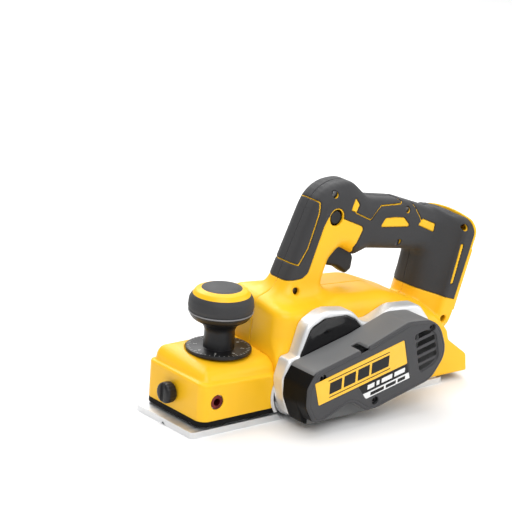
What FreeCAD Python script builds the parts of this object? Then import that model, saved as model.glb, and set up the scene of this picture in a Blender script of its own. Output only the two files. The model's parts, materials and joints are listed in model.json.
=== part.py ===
import FreeCAD, Part
import math
import os

from FreeCAD import Vector

os.makedirs("parts", exist_ok=True)

# Cordless electric hand planer, as it comes apart on a bench.
# While modelling, x runs back from the lip of the front shoe, y runs from the
# belt side (negative) to the chip side, and z runs up from the sole.
# On export every piece moves so that the origin is the middle of the rear sole.

# ---------------------------------------------------------------- driving sizes, mm
sole_width = 84.0
front_shoe_length = 107.0
mouth_length = 15.0
rear_shoe_length = 173.0
shoe_thickness = 6.0
depth_travel = 2.0            # how far the front shoe rises
drum_radius = 22.0
drum_length = 82.0
blade_projection = 1.4
belt_centres = 102.0
belt_rise = 21.0              # degrees from the drum up to the motor
drum_pulley_radius = 10.8
motor_pulley_radius = 9.0
belt_thickness = 1.6
belt_width = 10.0
bearing_bore = 4.0
bearing_radius = 11.0
bearing_width = 7.0
side_plate_thickness = 15.0
cover_depth = 35.0
cover_wall = 2.5
pulley_width = 14.0
grip_edge = 6.0               # rounding of the grip's long edges
wall = 2.6                    # moulded housing wall
rubber = 2.2                  # overmould thickness
grip_half_width = 19.0
foot_half_width = 37.0
nose_height = 59.0
crest_height = 110.0
handle_top = 203.0
knob_x = 57.5
knob_radius = 29.5
dial_radius = 29.6
dial_height = 61.5
knob_height = 119.5
stem_radius = 13.5
spindle_radius = 5.0
post_radius = 4.0
duct_radius = 16.5            # inside of the chip duct
duct_wall = 2.0
stator_radius = 28.0
rotor_radius = 15.0
stack_length = 34.0
trigger_swing = 10.0          # degrees
tail_overhang = 28.0
battery_lean = 17.3           # degrees that the battery face leans back
battery_face = 18.6           # behind the sole's end, at the height of the battery's middle
battery_middle = 100.0

corner_share = 0.72           # most of a straight side that one rounded corner may take

# named fits
running = 0.05                # radial clearance of a shaft in its hole
sliding = 0.3                 # between pieces that move past each other
seated = 0.02                 # between fixed pieces that touch all round
air = 1.2                     # round the spinning drum

# ---------------------------------------------------------------- places worked out
half_sole = sole_width / 2
drum_x = front_shoe_length + mouth_length / 2
cutting_radius = drum_radius + blade_projection
drum_z = cutting_radius + 0.05
sole_end = front_shoe_length + mouth_length + rear_shoe_length
sole_centre = sole_end - rear_shoe_length / 2
rise = math.radians(belt_rise)
motor_x = drum_x + belt_centres * math.cos(rise)
motor_z = drum_z + belt_centres * math.sin(rise)
plate_inner = -half_sole
plate_outer = plate_inner - side_plate_thickness
cover_face = plate_outer - cover_depth
belt_y = plate_outer - pulley_width / 2 - 3.5
low_face = belt_y - pulley_width / 2 - 0.5 - cover_wall
cover_bottom = drum_z - drum_pulley_radius - sliding - belt_thickness - 1.3 - cover_wall
duct_x = drum_x + 25.0
duct_z = drum_z + 49.0
skirt_bottom = shoe_thickness + depth_travel + sliding
nose_bottom = skirt_bottom + 4.7
nose_back = drum_x - 23.0
body_bottom = shoe_thickness + 1.0
frame_floor = shoe_thickness + 4.0
far = 400.0


# ---------------------------------------------------------------- plain helpers
def keep(name, *solids):
    """Move a piece to the sole's centre and write it as its own file."""
    shape = solids[0] if len(solids) == 1 else Part.makeCompound(list(solids))
    if shape.ShapeType == "Compound" and len(shape.Solids) == 1:
        shape = shape.Solids[0]
    moved = shape.copy()
    moved.translate(Vector(-sole_centre, 0, 0))
    moved.exportStep("parts/" + name + ".step")


def corner_arc(before, corner, after, radius):
    """Where a rounded corner starts, its middle and where it ends; short sides limit it."""
    shorter = min((before - corner).Length, (after - corner).Length)
    to_before = (before - corner).normalize()
    to_after = (after - corner).normalize()
    half_angle = to_before.getAngle(to_after) / 2
    run = min(radius / math.tan(half_angle), shorter * corner_share)
    radius = run * math.tan(half_angle)
    start = corner + to_before * run
    end = corner + to_after * run
    inward = (to_before + to_after).normalize()
    middle = corner + inward * (radius / math.sin(half_angle) - radius)
    return start, middle, end


def outline(points):
    """Closed wire in the side view; each point is (x, z) or (x, z, corner radius)."""
    corners = [Vector(p[0], 0, p[1]) for p in points]
    radii = [p[2] if len(p) > 2 else 0 for p in points]
    edges = []
    places = []
    for i, corner in enumerate(corners):
        if radii[i]:
            places.append(corner_arc(corners[i - 1], corner, corners[(i + 1) % len(corners)], radii[i]))
        else:
            places.append((corner, None, corner))
    for i, (start, middle, end) in enumerate(places):
        if middle:
            edges.append(Part.Arc(start, middle, end).toShape())
        following = places[(i + 1) % len(places)][0]
        if (following - end).Length > 1e-6:
            edges.append(Part.LineSegment(end, following).toShape())
    return Part.Wire(edges)


def side_slab(points, y0, y1, inset=0.0):
    """Side-view outline, drawn in by inset, made solid between two y values."""
    face = Part.Face(outline(points))
    if inset:
        face = face.makeOffset2D(-inset)
    slab = face.extrude(Vector(0, y1 - y0, 0))
    slab.translate(Vector(0, y0, 0))
    return slab.Solids[0]


def rod(x, z, radius, y0, y1):
    return Part.makeCylinder(radius, y1 - y0, Vector(x, y0, z), Vector(0, 1, 0))


def post(x, y, radius, z0, z1):
    return Part.makeCylinder(radius, z1 - z0, Vector(x, y, z0))


def bar(x, y, z, radius, length):
    """Round bar along x."""
    return Part.makeCylinder(radius, length, Vector(x, y, z), Vector(1, 0, 0))


def block(x0, x1, y0, y1, z0, z1):
    return Part.makeBox(x1 - x0, y1 - y0, z1 - z0, Vector(x0, y0, z0))


def join(first, *others):
    shape = first
    for other in others:
        shape = shape.fuse(other)
    return shape.removeSplitter()


def cut(first, *others):
    shape = first
    for other in others:
        shape = shape.cut(other)
    return shape


def largest(shape):
    return max(shape.Solids, key=lambda solid: solid.Volume)


def turned(profile, x, y):
    """Solid of revolution about a vertical axis from (radius, z) points."""
    wire = outline(profile)
    solid = Part.Face(wire).revolve(Vector(0, 0, 0), Vector(0, 0, 1), 360)
    solid.translate(Vector(x, y, 0))
    return solid.Solids[0]


def tilted(shape, degrees, x, z):
    """Turn a copy about a line along y; positive lifts the rear end."""
    copy = shape.copy()
    copy.rotate(Vector(x, 0, z), Vector(0, -1, 0), degrees)
    return copy


def fillet_if(shape, radius, wanted):
    edges = [edge for edge in shape.Edges if wanted(edge)]
    return shape.makeFillet(radius, edges)


def lies_at_y(edge, y):
    return all(abs(vertex.Point.y - y) < 1e-4 for vertex in edge.Vertexes)


def is_vertical(edge):
    box = edge.BoundBox
    return box.XLength < 1e-4 and box.YLength < 1e-4 and box.ZLength > 1


def belt_loop(extra):
    """Side-view face of the belt loop, grown outward by extra from the pulleys."""
    r1 = drum_pulley_radius + extra
    r2 = motor_pulley_radius + extra
    lean = math.asin((r1 - r2) / belt_centres)
    up = rise + math.pi / 2 - lean
    down = rise - math.pi / 2 + lean

    def spot(x, z, r, angle):
        return Vector(x + r * math.cos(angle), 0, z + r * math.sin(angle))

    a = spot(drum_x, drum_z, r1, up)
    b = spot(motor_x, motor_z, r2, up)
    c = spot(motor_x, motor_z, r2, rise)
    d = spot(motor_x, motor_z, r2, down)
    e = spot(drum_x, drum_z, r1, down)
    f = spot(drum_x, drum_z, r1, rise + math.pi)
    edges = [Part.LineSegment(a, b), Part.Arc(b, c, d), Part.LineSegment(d, e), Part.Arc(e, f, a)]
    return Part.Face(Part.Wire([edge.toShape() for edge in edges]))


def loop_slab(extra, y0, y1):
    slab = belt_loop(extra).extrude(Vector(0, y1 - y0, 0))
    slab.translate(Vector(0, y0, 0))
    return slab.Solids[0]


def coil(radius, wire_radius, height, turns, x, y, z):
    """Compression spring standing on z."""
    path = Part.makeHelix(height / turns, height, radius)
    ring = Part.Wire([Part.makeCircle(wire_radius, Vector(radius, 0, 0), Vector(0, 1, 0))])
    spring = Part.Wire(path.Edges).makePipeShell([ring], True, True)
    spring.translate(Vector(x, y, z))
    return spring.Solids[0]


def bearing(x, z, y0):
    """Sealed ball bearing with a groove between its races on both faces."""
    ring = rod(x, z, bearing_radius - seated, y0, y0 + bearing_width)
    hole = rod(x, z, bearing_bore + running, y0 - 1, y0 + bearing_width + 1)
    body = ring.cut(hole)
    for y in (y0 - 0.5, y0 + bearing_width - 0.5):
        body = body.cut(rod(x, z, 8.6, y, y + 1).cut(rod(x, z, 6.4, y, y + 1)))
    return body


def on_battery_face(shape):
    """Lean a shape and carry it to the middle of the battery face."""
    shape.rotate(Vector(0, 0, 0), Vector(0, 1, 0), battery_lean)
    shape.translate(Vector(sole_end + battery_face, 0, battery_middle))
    return shape


def leaning_box(x, width, thickness, height, z):
    """Box that leans with the battery face; x is measured back from that face."""
    box = block(x - thickness / 2, x + thickness / 2, -width / 2, width / 2, z - height / 2, z + height / 2)
    return on_battery_face(box)


# ---------------------------------------------------------------- outlines
def from_drum(points):
    return [(drum_x + p[0],) + tuple(p[1:]) for p in points]


def from_end(points):
    return [(sole_end + p[0],) + tuple(p[1:]) for p in points]


# The body falls away behind the motor, so that slope starts from the motor's place.
body_points = from_drum([
    (-23, body_bottom), (-23, nose_height - 2, 6), (-17, crest_height, 12), (84, crest_height - 3, 40),
]) + [
    (motor_x + stator_radius + 29.3, motor_z + 18, 60),
] + from_end([
    (0, 51, 8), (2, 42, 8), (tail_overhang - 2, 24, 8), (tail_overhang, body_bottom, 0),
])

handle_points = from_drum([
    (-5, 96), (42, handle_top, 30), (76, handle_top, 18), (98, 186, 25),
]) + from_end([
    (-42, 177.5, 30), (33, 147.5, 8), (10, 72), (-28, 72), (-22, 87), (-15.5, 129, 14),
]) + from_drum([
    (97, 138.0, 5), (83, 131.5, 3), (62, 142.5, 8), (46.5, 132.5, 5), (35, 96),
])

foot_points = from_end([
    (-32, 171.5, 10), (33, 147.5, 8), (3.5, 50, 4), (-30, 50), (-24, 82), (-16, 131), (-20, 150),
])

rubber_points = from_drum([
    (-12, 122), (5, 118.5), (19, 121, 3), (25, 125, 3), (40, 166, 3), (45, 175, 3), (64, 170, 3),
    (88, 159, 4), (78, 141, 3), (82, 131), (110, 110),
]) + from_end([
    (-38, 104.5), (6.5, 77), (31, 156), (31, 260),
]) + from_drum([
    (-12, 260),
])

plate_points = from_drum([
    (-17, 9, 4), (-24, 24, 10), (-27, 44, 8), (-21, 62, 4), (-11, 63, 4), (-2, 92, 14),
    (18, 102, 26), (48, 97.5, 20), (66, 80, 18),
]) + [
    (motor_x + 2, motor_z + 32.5, 24), (motor_x + 34, motor_z + 30, 14),
    (motor_x + 50, motor_z + 10, 16), (motor_x + 38, motor_z - 36, 20),
    (motor_x - 30, 9, 20),
]

# The cover's lower part reaches down round the drum pulley and stands back from
# the face, whose lower edge is higher and has an arch in it.
cover_upper = from_drum([(-27, 30, 14), (-27, 47, 8), (-18, 64.5, 5)]) + [
    (motor_x - 6, motor_z + 31, 20), (motor_x + 27, motor_z + 27.5, 24), (motor_x + 40, motor_z - 6, 22),
]
cover_low_points = from_drum([(-17, cover_bottom, 8)]) + cover_upper + [
    (motor_x + 26, motor_z - 29, 20), (motor_x - 36, cover_bottom, 24),
]
face_bottom = drum_z - 10.0
cover_points = from_drum([(-18, face_bottom, 7)]) + cover_upper + [
    (motor_x + 22, motor_z - 29.5, 20), (motor_x - 40, face_bottom + 1.5, 30),
] + from_drum([(43, face_bottom + 0.5, 5), (27, face_bottom + 11.5, 7), (20, face_bottom + 11.5, 7),
               (-7, face_bottom, 5)])

nose_points = [
    (10, nose_bottom), (10, 49, 6), (20, nose_height, 8),
    (nose_back, nose_height), (nose_back, nose_bottom),
]

trigger_pivot = (drum_x + 50.0, 143.5)
lock_place = (drum_x + 54.5, 172.5)
trigger_points = from_drum([
    (46, 148, 3.5), (46, 138, 3), (56, 124, 4), (68, 120.5, 8), (80, 112, 3),
    (86.5, 116, 4), (88, 127, 3), (81, 139.5, 3), (60, 146.5, 3),
])
cap_points = from_drum([(-10, 67.5, 2), (1, 88, 9), (16, 95, 12), (42, 94, 14), (53, 88, 6), (60, 84.5, 1)])
label_points = from_drum([(-20, 51.5, 2), (82, 75, 2), (87, 51, 2), (-14, 29, 2)])
fence_place = (27.2, 29.7)
wrench_place = (2.0, 29.0)
post_places = [(knob_x, -27.0), (knob_x, 27.0)]
cover_screw_places = [
    (drum_x - 10.5, drum_z + 31), (drum_x + 52, drum_z - 1), (motor_x + 19, motor_z + 21),
]
plate_screw_places = [
    (drum_x + 34, 20.0), (motor_x + 8, 26.0), (motor_x - 32, 24.0),
]
screw_places = [
    (drum_x + 52.6, 194.0), (drum_x + 12.4, 109.7), (drum_x + 131.0, 138.0),
    (sole_end - 40.3, 167.0), (sole_end + 17.0, 145.0), (sole_end - 3.0, 62.0),
]


# ---------------------------------------------------------------- bulk shapes of the mouldings
def crowned_body(inset):
    """Body of the planer with a crowned top and upright sides."""
    half = half_sole - inset
    body = side_slab(body_points, -half, half, inset)
    if inset:
        body = body.fuse(block(drum_x - 23 + inset, sole_end + tail_overhang - inset, -half, half,
                               body_bottom - 1, body_bottom + inset + 1)).removeSplitter()
    crest = crest_height - inset
    roof = [(-half, -10), (-half, crest - 14, 14), (-half * 0.5, crest + 0.5, 50),
            (half * 0.5, crest + 0.5, 50), (half, crest - 14, 14), (half, -10)]
    wire = outline(roof)
    wire.rotate(Vector(0, 0, 0), Vector(0, 0, 1), 90)
    level = Part.Face(wire).extrude(Vector(120 + drum_x, 0, 0))
    wire.rotate(Vector(0, 0, crest), Vector(0, 1, 0), 24)
    slope = Part.Face(wire).extrude(Vector(math.cos(math.radians(24)) * far, 0, -math.sin(math.radians(24)) * far))
    slope.translate(Vector(drum_x + 86, 0, 0))
    return largest(body.common(level.Solids[0].fuse(slope.Solids[0])))


def handle_bar(inset):
    """The D-shaped grip from the pillar back to the battery foot."""
    half = grip_half_width - inset
    grip = side_slab(handle_points, -half, half, inset)
    return fillet_if(grip, grip_edge - inset, lambda edge: lies_at_y(edge, half) or lies_at_y(edge, -half))


def battery_foot(inset):
    """Wide leaning block behind the grip, rounded towards the hand."""
    slab = side_slab(foot_points, -foot_half_width + inset, foot_half_width - inset, inset)
    lean = math.tan(math.radians(battery_lean))
    half = foot_half_width - inset
    front = sole_end - 17 + inset
    bend = half - 0.5
    plan = [(front, -half, bend), (sole_end + 80, -half), (sole_end + 80, half), (front, half, bend)]
    wire = outline(plan)
    wire.rotate(Vector(0, 0, 0), Vector(1, 0, 0), -90)
    wire.translate(Vector(-lean * 140, 0, -40))
    column = Part.Face(wire).extrude(Vector(lean * 280, 0, 280))
    return largest(slab.common(column.Solids[0]))


handle_outer = join(handle_bar(0), battery_foot(0))
handle_core = join(handle_bar(rubber), battery_foot(rubber))
handle_hollow = join(handle_bar(rubber + wall), battery_foot(rubber + wall))
body_outer = crowned_body(0)
body_hollow = crowned_body(wall)
rubber_region = side_slab(rubber_points, -60, 60)
hood_radius = cutting_radius + air + 3


# ---------------------------------------------------------------- soles and depth setting
def drum_space(radius, drop=0.0):
    return rod(drum_x, drum_z - drop, radius, -half_sole - 1, half_sole + 1)


def front_shoe():
    plate = block(0, front_shoe_length, -half_sole, half_sole, 0, shoe_thickness)
    plate = fillet_if(plate, 4, lambda edge: is_vertical(edge) and edge.Vertexes[0].X < 1)
    groove = Part.Face(Part.makePolygon([
        Vector(-1, -3.2, -0.01), Vector(-1, 3.2, -0.01), Vector(-1, 0, 3.2), Vector(-1, -3.2, -0.01)]))
    plate = cut(plate, groove.extrude(Vector(front_shoe_length + 2, 0, 0)),
                drum_space(cutting_radius + air), drum_space(cutting_radius + air, depth_travel))
    nut = post(knob_x, 0, 9, shoe_thickness - 1, 22)
    posts = [post(x, y, post_radius, shoe_thickness - 1, 28) for x, y in post_places]
    return join(plate, nut, *posts).cut(post(knob_x, 0, spindle_radius + running, 3.5, 30))


def shoe_screw_spots():
    return [(drum_x + x, y) for x in (38, 128) for y in (-26, 14)]


def countersunk_screw(x, y):
    head = Part.makeCone(4.4, 2.2, 2.4, Vector(x, y, 0.4))
    return head.fuse(post(x, y, 2.2, 2.8, frame_floor)).removeSplitter()


stand_x = sole_end - 30
stand_y = 31.0


def rear_shoe():
    plate = block(drum_x + mouth_length / 2, sole_end, -half_sole, half_sole, 0, shoe_thickness)
    plate = fillet_if(plate, 8, lambda edge: is_vertical(edge) and edge.Vertexes[0].X > sole_end - 1)
    plate = cut(plate, drum_space(cutting_radius + air),
                block(stand_x - 5, sole_end + 1, stand_y - 5, stand_y + 5, -1, shoe_thickness + 1),
                rod(stand_x, 3, 1.5, stand_y - 9, half_sole + 1))
    for x, y in shoe_screw_spots():
        plate = plate.cut(join(Part.makeCone(5.2, 2.2, 3.0, Vector(x, y, -0.2)), post(x, y, 2.2, 2.7, 8)))
    return plate


def kickstand():
    lever = side_slab([(stand_x - 2.6, 0.4, 2.4), (stand_x + 47, 0.4, 2), (stand_x + 47, 4.2, 1.5),
                       (stand_x + 8, 5.6, 6), (stand_x - 2.6, 5.6, 2.4)], stand_y - 4.6, stand_y + 4.6)
    return lever.cut(rod(stand_x, 3, 1.5 + running, stand_y - 6, stand_y + 6))


keep("front_shoe", front_shoe())
keep("rear_shoe", rear_shoe())
keep("shoe_screws", *[countersunk_screw(x, y) for x, y in shoe_screw_spots()])
keep("kickstand", kickstand())
keep("kickstand_pin", rod(stand_x, 3, 1.5, stand_y - 9, half_sole - 0.5))
keep("depth_spindle", join(post(knob_x, 0, spindle_radius, 8, 100),
                           post(knob_x, 0, 7, nose_height + sliding, nose_height + 3)))
keep("depth_spring", coil(7.3, 0.8, 10.4, 3.5, knob_x, 0, 22.8))

# Depth knob: black core with its scale disc, rubber band, coloured ring and cap.
disc_bottom = nose_height + sliding
band_bottom = knob_height - 22.0
band_top = knob_height - 5.5


def knob_core():
    profile = [
        (0, disc_bottom), (dial_radius, disc_bottom, 0.8), (dial_radius, dial_height, 0.6),
        (stem_radius + 1.5, dial_height + 0.4, 2), (stem_radius, dial_height + 14, 10),
        (stem_radius + 1, band_bottom - 12, 8), (knob_radius - 3, band_bottom - 4, 12),
        (knob_radius, band_bottom), (knob_radius - 4, band_bottom), (knob_radius - 6, knob_height - 1.5),
        (0, knob_height - 1.5),
    ]
    core = turned(profile, knob_x, 0)
    return cut(core, post(knob_x, 0, spindle_radius, 0, 100),
               post(knob_x, 0, 7, 0, nose_height + 3))


def knob_band():
    return turned([(knob_radius - 4, band_bottom), (knob_radius, band_bottom, 1), (knob_radius, band_top - 3, 9),
                   (knob_radius - 3.6, band_top), (knob_radius - 5.4, band_top)], knob_x, 0)


def knob_ring():
    inner = knob_radius - 6 + (knob_height - 1.5 - band_top) / (knob_height - 1.5 - band_bottom) * 2
    return turned([(inner, band_top), (knob_radius - 3.6, band_top), (knob_radius - 5.5, band_top + 3, 2),
                   (18.8, knob_height - 0.8), (18.8, knob_height - 1.5), (knob_radius - 6, knob_height - 1.5)],
                  knob_x, 0)


keep("knob_core", knob_core())
keep("knob_band", knob_band())
keep("knob_ring", knob_ring())
keep("knob_cap", turned([(0, knob_height - 1.5), (18.8, knob_height - 1.5), (18.8, knob_height - 0.6, 0.5),
                         (0, knob_height)], knob_x, 0))


# ---------------------------------------------------------------- frame, duct and housings
def duct_bulk(inset):
    """Chip duct across the body with a throat that reaches down to the drum."""
    tube_end = half_sole + (0 if inset == 0 else 1)
    tube = rod(duct_x, duct_z, duct_radius + duct_wall - inset, -33 + inset, tube_end)
    throat = side_slab([(drum_x - 19, drum_z + 14), (drum_x - 19, drum_z + 32, 4),
                        (duct_x - 16, duct_z + 8), (duct_x + 4, duct_z - 12), (drum_x + 6, drum_z + 24),
                        (drum_x, drum_z)], -32, 32, inset)
    return join(tube, throat)


def chip_duct():
    return largest(duct_bulk(0).cut(duct_bulk(duct_wall)).cut(
        rod(drum_x, drum_z, hood_radius + seated, -60, 60)))


def motor_saddle():
    cradle = block(motor_x - 24, motor_x + 24, -20, 12, shoe_thickness, motor_z - 12)
    wall_block = block(motor_x - 16, motor_x + 16, 30, 38, shoe_thickness, motor_z + 2)
    top = rod(motor_x, motor_z, 16, 30, 38)
    return join(cradle, wall_block, top)


def frame_casting():
    front = block(14, drum_x - 4, -38, 38, skirt_bottom, 14)
    front = fillet_if(front, 6, lambda edge: is_vertical(edge) and edge.Vertexes[0].X < 15)
    boss = post(knob_x, 0, 13, skirt_bottom, nose_height)
    guides = [post(x, y, 7, skirt_bottom, 33) for x, y in post_places]
    lugs = [block(19, 35, y, y + 9, skirt_bottom, fence_place[1] + 8) for y in (-38.3, 29.3)]
    hood = rod(drum_x, drum_z, hood_radius, -half_sole, half_sole)
    hood = hood.common(block(0, far, -60, 60, skirt_bottom, far))
    floor = block(drum_x + 12, sole_end - 8, -39, 39, shoe_thickness, frame_floor)
    ears = [block(x - 5, x + 5, -39, -27, shoe_thickness, z + 5) for x, z in plate_screw_places]
    shape = join(front, boss, *guides, *lugs, hood, floor, motor_saddle(), *ears)
    shape = cut(shape, drum_space(cutting_radius + air),
                post(knob_x, 0, 9 + sliding, 0, 34), post(knob_x, 0, spindle_radius + running, 0, far),
                rod(motor_x, motor_z, stator_radius + 3 + seated, -21, 29),
                rod(motor_x, motor_z, bearing_radius, 29, 37), rod(motor_x, motor_z, 5, 0, 60),
                duct_bulk(duct_wall), rod(duct_x, duct_z, duct_radius + duct_wall + seated, -60, 60),
                block(drum_x, drum_x + 14, -60, 60, -1, shoe_thickness + seated),
                bar(-1, wrench_place[0], wrench_place[1], 3.4, 50),
                block(stand_x - 6, far, stand_y - 6, stand_y + 6, 0, frame_floor + 1))
    for x, y in post_places:
        shape = shape.cut(post(x, y, post_radius + running, 0, 31))
    for y in (-60, 25):
        shape = shape.cut(rod(fence_place[0], fence_place[1], 6, y, y + 35))
    for x, z in plate_screw_places:
        shape = shape.cut(rod(x, z, 2, -60, -30))
    for x, y in shoe_screw_spots():
        shape = shape.cut(post(x, y, 2.2, 0, frame_floor))
    return largest(shape)


def nose_cover():
    outer = side_slab(nose_points, -half_sole, half_sole)
    outer = fillet_if(outer, 9, lambda edge: is_vertical(edge) and edge.Vertexes[0].X < 11)
    hollow = side_slab(nose_points, -half_sole + wall, half_sole - wall, wall)
    hollow = hollow.fuse(block(10 + wall, nose_back - wall, -half_sole + wall, half_sole - wall, 0,
                               nose_bottom + 5)).removeSplitter()
    hollow = fillet_if(hollow, 9 - wall, lambda edge: is_vertical(edge) and edge.Vertexes[0].X < 11 + wall)
    hollow = hollow.fuse(block(30, nose_back + 5, -half_sole + wall, half_sole - wall, 0, nose_height - wall))
    return cut(outer, hollow, post(knob_x, 0, 13 + seated, 40, 70),
               rod(drum_x, drum_z, hood_radius + seated, -60, 60),
               rod(fence_place[0], fence_place[1], 6.2, -60, 60),
               bar(0, wrench_place[0], wrench_place[1], 3.4, 40))


def front_skirt():
    outer = block(10, nose_back, -half_sole, half_sole, skirt_bottom, nose_bottom)
    outer = fillet_if(outer, 9, lambda edge: is_vertical(edge) and edge.Vertexes[0].X < 11)
    return cut(outer, block(13, nose_back + 1, -38.5, 38.5, 0, 40),
               rod(drum_x, drum_z, hood_radius + seated, -60, 60))


def trigger_space():
    """Room for the trigger over its whole swing."""
    room = side_slab(trigger_points, -7.6, 7.6, -0.6)
    steps = [tilted(room, trigger_swing * k / 3, *trigger_pivot) for k in (1, 2, 3)]
    return join(room, *steps)


def housing_openings():
    """Everything that is cut out of both housing halves."""
    pieces = [
        block(drum_x - 24, drum_x - 15, -39, 39, 0, 48),
        rod(drum_x, drum_z, hood_radius + seated, -60, 60),
        rod(duct_x, duct_z, duct_radius + duct_wall + seated, 0, 60),
        rod(motor_x, motor_z, 16, -60, -30),
        rod(lock_place[0], lock_place[1], 6.5 + sliding, -60, 60),
        trigger_space(),
        leaning_box(1.5, 38 + 2 * seated, 11 + 2 * seated, 38 + 2 * seated, 0),
        rod(*trigger_pivot, 2, -13, 13),
    ]
    pieces += [rod(x, z, 2.05, -60, -30) for x, z in plate_screw_places]
    pieces += [rod(x, z, 3.2, -60, -12) for x, z in screw_places]
    pieces += [rod(x, z, 1.9, -13, 12) for x, z in screw_places]
    vents = [block(motor_x - 22 + 8 * k, motor_x - 18 + 8 * k, 30, 60, motor_z - 16, motor_z + 16)
             for k in range(6)]
    return pieces + vents


def battery_rails():
    """Two L-shaped rails that a battery pack slides up on."""
    rails = []
    for side in (-1, 1):
        web = block(-1, 7, min(side * 24, side * 27), max(side * 24, side * 27), -34, 26)
        lip = block(4.6, 7, min(side * 24, side * 31), max(side * 24, side * 31), -34, 26)
        rails += [web, lip]
    stop = block(-1, 7, -27, 27, 23, 26)
    return on_battery_face(join(*rails, stop))


def housing_shell():
    outer = body_outer.fuse(handle_outer.cut(handle_outer.cut(handle_core).common(rubber_region)))
    bosses = [rod(x, z, 4.6, -16, 16) for x, z in screw_places[:4]]
    bosses += [rod(x, z, 4.6, -34, 34) for x, z in screw_places[4:]]
    shell = outer.cut(body_hollow).cut(handle_hollow)
    shell = shell.fuse(join(*[boss.common(outer) for boss in bosses], battery_rails()))
    for space in housing_openings():
        shell = shell.cut(space)
    return shell


shell = housing_shell()
left_side = block(-far, far, -far, 0, -far, far)
right_side = block(-far, far, 0, far, -far, far)
rubber_skin = handle_outer.cut(handle_core).common(rubber_region)
for space in housing_openings():
    rubber_skin = rubber_skin.cut(space)

keep("frame_casting", frame_casting())
keep("chip_duct", chip_duct())
keep("nose_cover", nose_cover())
keep("front_skirt", front_skirt())
keep("housing_left", largest(shell.common(left_side)))
keep("housing_right", largest(shell.common(right_side)))
keep("grip_left", largest(rubber_skin.common(left_side)))
keep("grip_right", largest(rubber_skin.common(right_side)))
keep("housing_screws", *[join(rod(x, z, 3, -15.5, -13), rod(x, z, 1.9, -13, 10)) for x, z in screw_places])
keep("outlet_collar", rod(duct_x, duct_z, duct_radius + duct_wall + 2.5, half_sole, half_sole + 10).cut(
    rod(duct_x, duct_z, duct_radius + 0.5, 0, 80)))
keep("fence_bushes", *[rod(*fence_place, 6, y, y + 11).cut(rod(*fence_place, 3.4, -60, 60))
                       for y in (-40.5, 29.5)])


# ---------------------------------------------------------------- belt side
def side_plate():
    plate = side_slab(plate_points, plate_outer, plate_inner)
    pocket = side_slab(cover_low_points, plate_outer - 1, plate_outer + 10, 5)
    hubs = [rod(x, z, 15, plate_outer + 0.5, plate_inner) for x, z in ((drum_x, drum_z), (motor_x, motor_z))]
    hubs += [rod(x, z, 5, plate_outer, plate_inner) for x, z in cover_screw_places]
    plate = join(plate.cut(pocket), *[hub.common(plate) for hub in hubs])
    plate = cut(plate, side_slab(cap_points, plate_outer - 1, plate_outer + 4))
    for x, z in ((drum_x, drum_z), (motor_x, motor_z)):
        plate = cut(plate, rod(x, z, bearing_radius, plate_inner - 8, plate_inner + 1), rod(x, z, 5, -80, 0))
    for x, z in cover_screw_places:
        plate = plate.cut(rod(x, z, 2, -80, plate_outer + 9))
    for x, z in plate_screw_places:
        plate = cut(plate, rod(x, z, 2.05, -80, 0), rod(x, z, 4, plate_outer - 1, plate_outer + 10))
    return plate


def vent_slots():
    slots = []
    for k in range(5):
        z = motor_z - 15 + 8 * k
        x = motor_x + 12 + (1.5 if k in (0, 4) else 4)
        slots.append(side_slab([(x - 14, z - 5, 1.2), (x + 11, z + 0.4, 1.2), (x + 11, z + 4, 1.2),
                                (x - 14, z - 1.4, 1.2)], cover_face - 1, cover_face + 4))
    return slots


def belt_cover():
    shell = side_slab(cover_points, cover_face, plate_outer)
    shell = fillet_if(shell, 2, lambda edge: lies_at_y(edge, cover_face))
    bulk = join(shell, side_slab(cover_low_points, low_face, plate_outer))
    hollow = join(side_slab(cover_points, cover_face + cover_wall, plate_outer + 1, cover_wall),
                  side_slab(cover_low_points, low_face + cover_wall, plate_outer + 1, cover_wall))
    shell = bulk.cut(hollow)
    hubs = [rod(x, z, 4.8, cover_face + 1, plate_outer) for x, z in cover_screw_places]
    shell = join(shell, *[hub.common(bulk) for hub in hubs])
    for x, z in cover_screw_places:
        shell = cut(shell, rod(x, z, 3.6, cover_face - 1, cover_face + 6), rod(x, z, 2, cover_face, 0))
    shell = cut(shell, *vent_slots(), side_slab(label_points, cover_face - 1, cover_face + 0.9))
    return shell


def cap_screw(x, z, head_y, tip_y, head_radius=3.4):
    head = rod(x, z, head_radius, head_y, head_y + 3).cut(rod(x, z, 1.5, head_y - 1, head_y + 1.6))
    return head.fuse(rod(x, z, 2, head_y + 3, tip_y)).removeSplitter()


keep("side_plate", side_plate())
keep("duct_cap", side_slab(cap_points, plate_outer, plate_outer + 4, seated))
cover = belt_cover()
front_wall = block(0, drum_x - 14, cover_face + cover_wall, plate_outer + 1, 0, 58)
keep("belt_cover", largest(cover.cut(front_wall)))
keep("cover_front_wall", largest(cover.common(front_wall)))
keep("cover_label", side_slab(label_points, cover_face + 0.1, cover_face + 0.9, seated))
keep("cover_screws", *[cap_screw(x, z, cover_face + 3, plate_outer + 8) for x, z in cover_screw_places])
keep("plate_screws", *[cap_screw(x, z, plate_outer + 7, -30) for x, z in plate_screw_places])
keep("drive_belt", cut(loop_slab(sliding + belt_thickness, belt_y - belt_width / 2, belt_y + belt_width / 2),
                       loop_slab(sliding, belt_y - belt_width, belt_y + belt_width)))


# ---------------------------------------------------------------- cutter drum
blade_seat = 12.0
half_drum = drum_length / 2
shaft_start = belt_y - pulley_width / 2 - 0.2


def twice(shape, y=0.0):
    """A piece and its copy half a turn round the drum axis."""
    copy = shape.copy()
    copy.rotate(Vector(drum_x, y, drum_z), Vector(0, 1, 0), 180)
    return [shape, copy]


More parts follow.
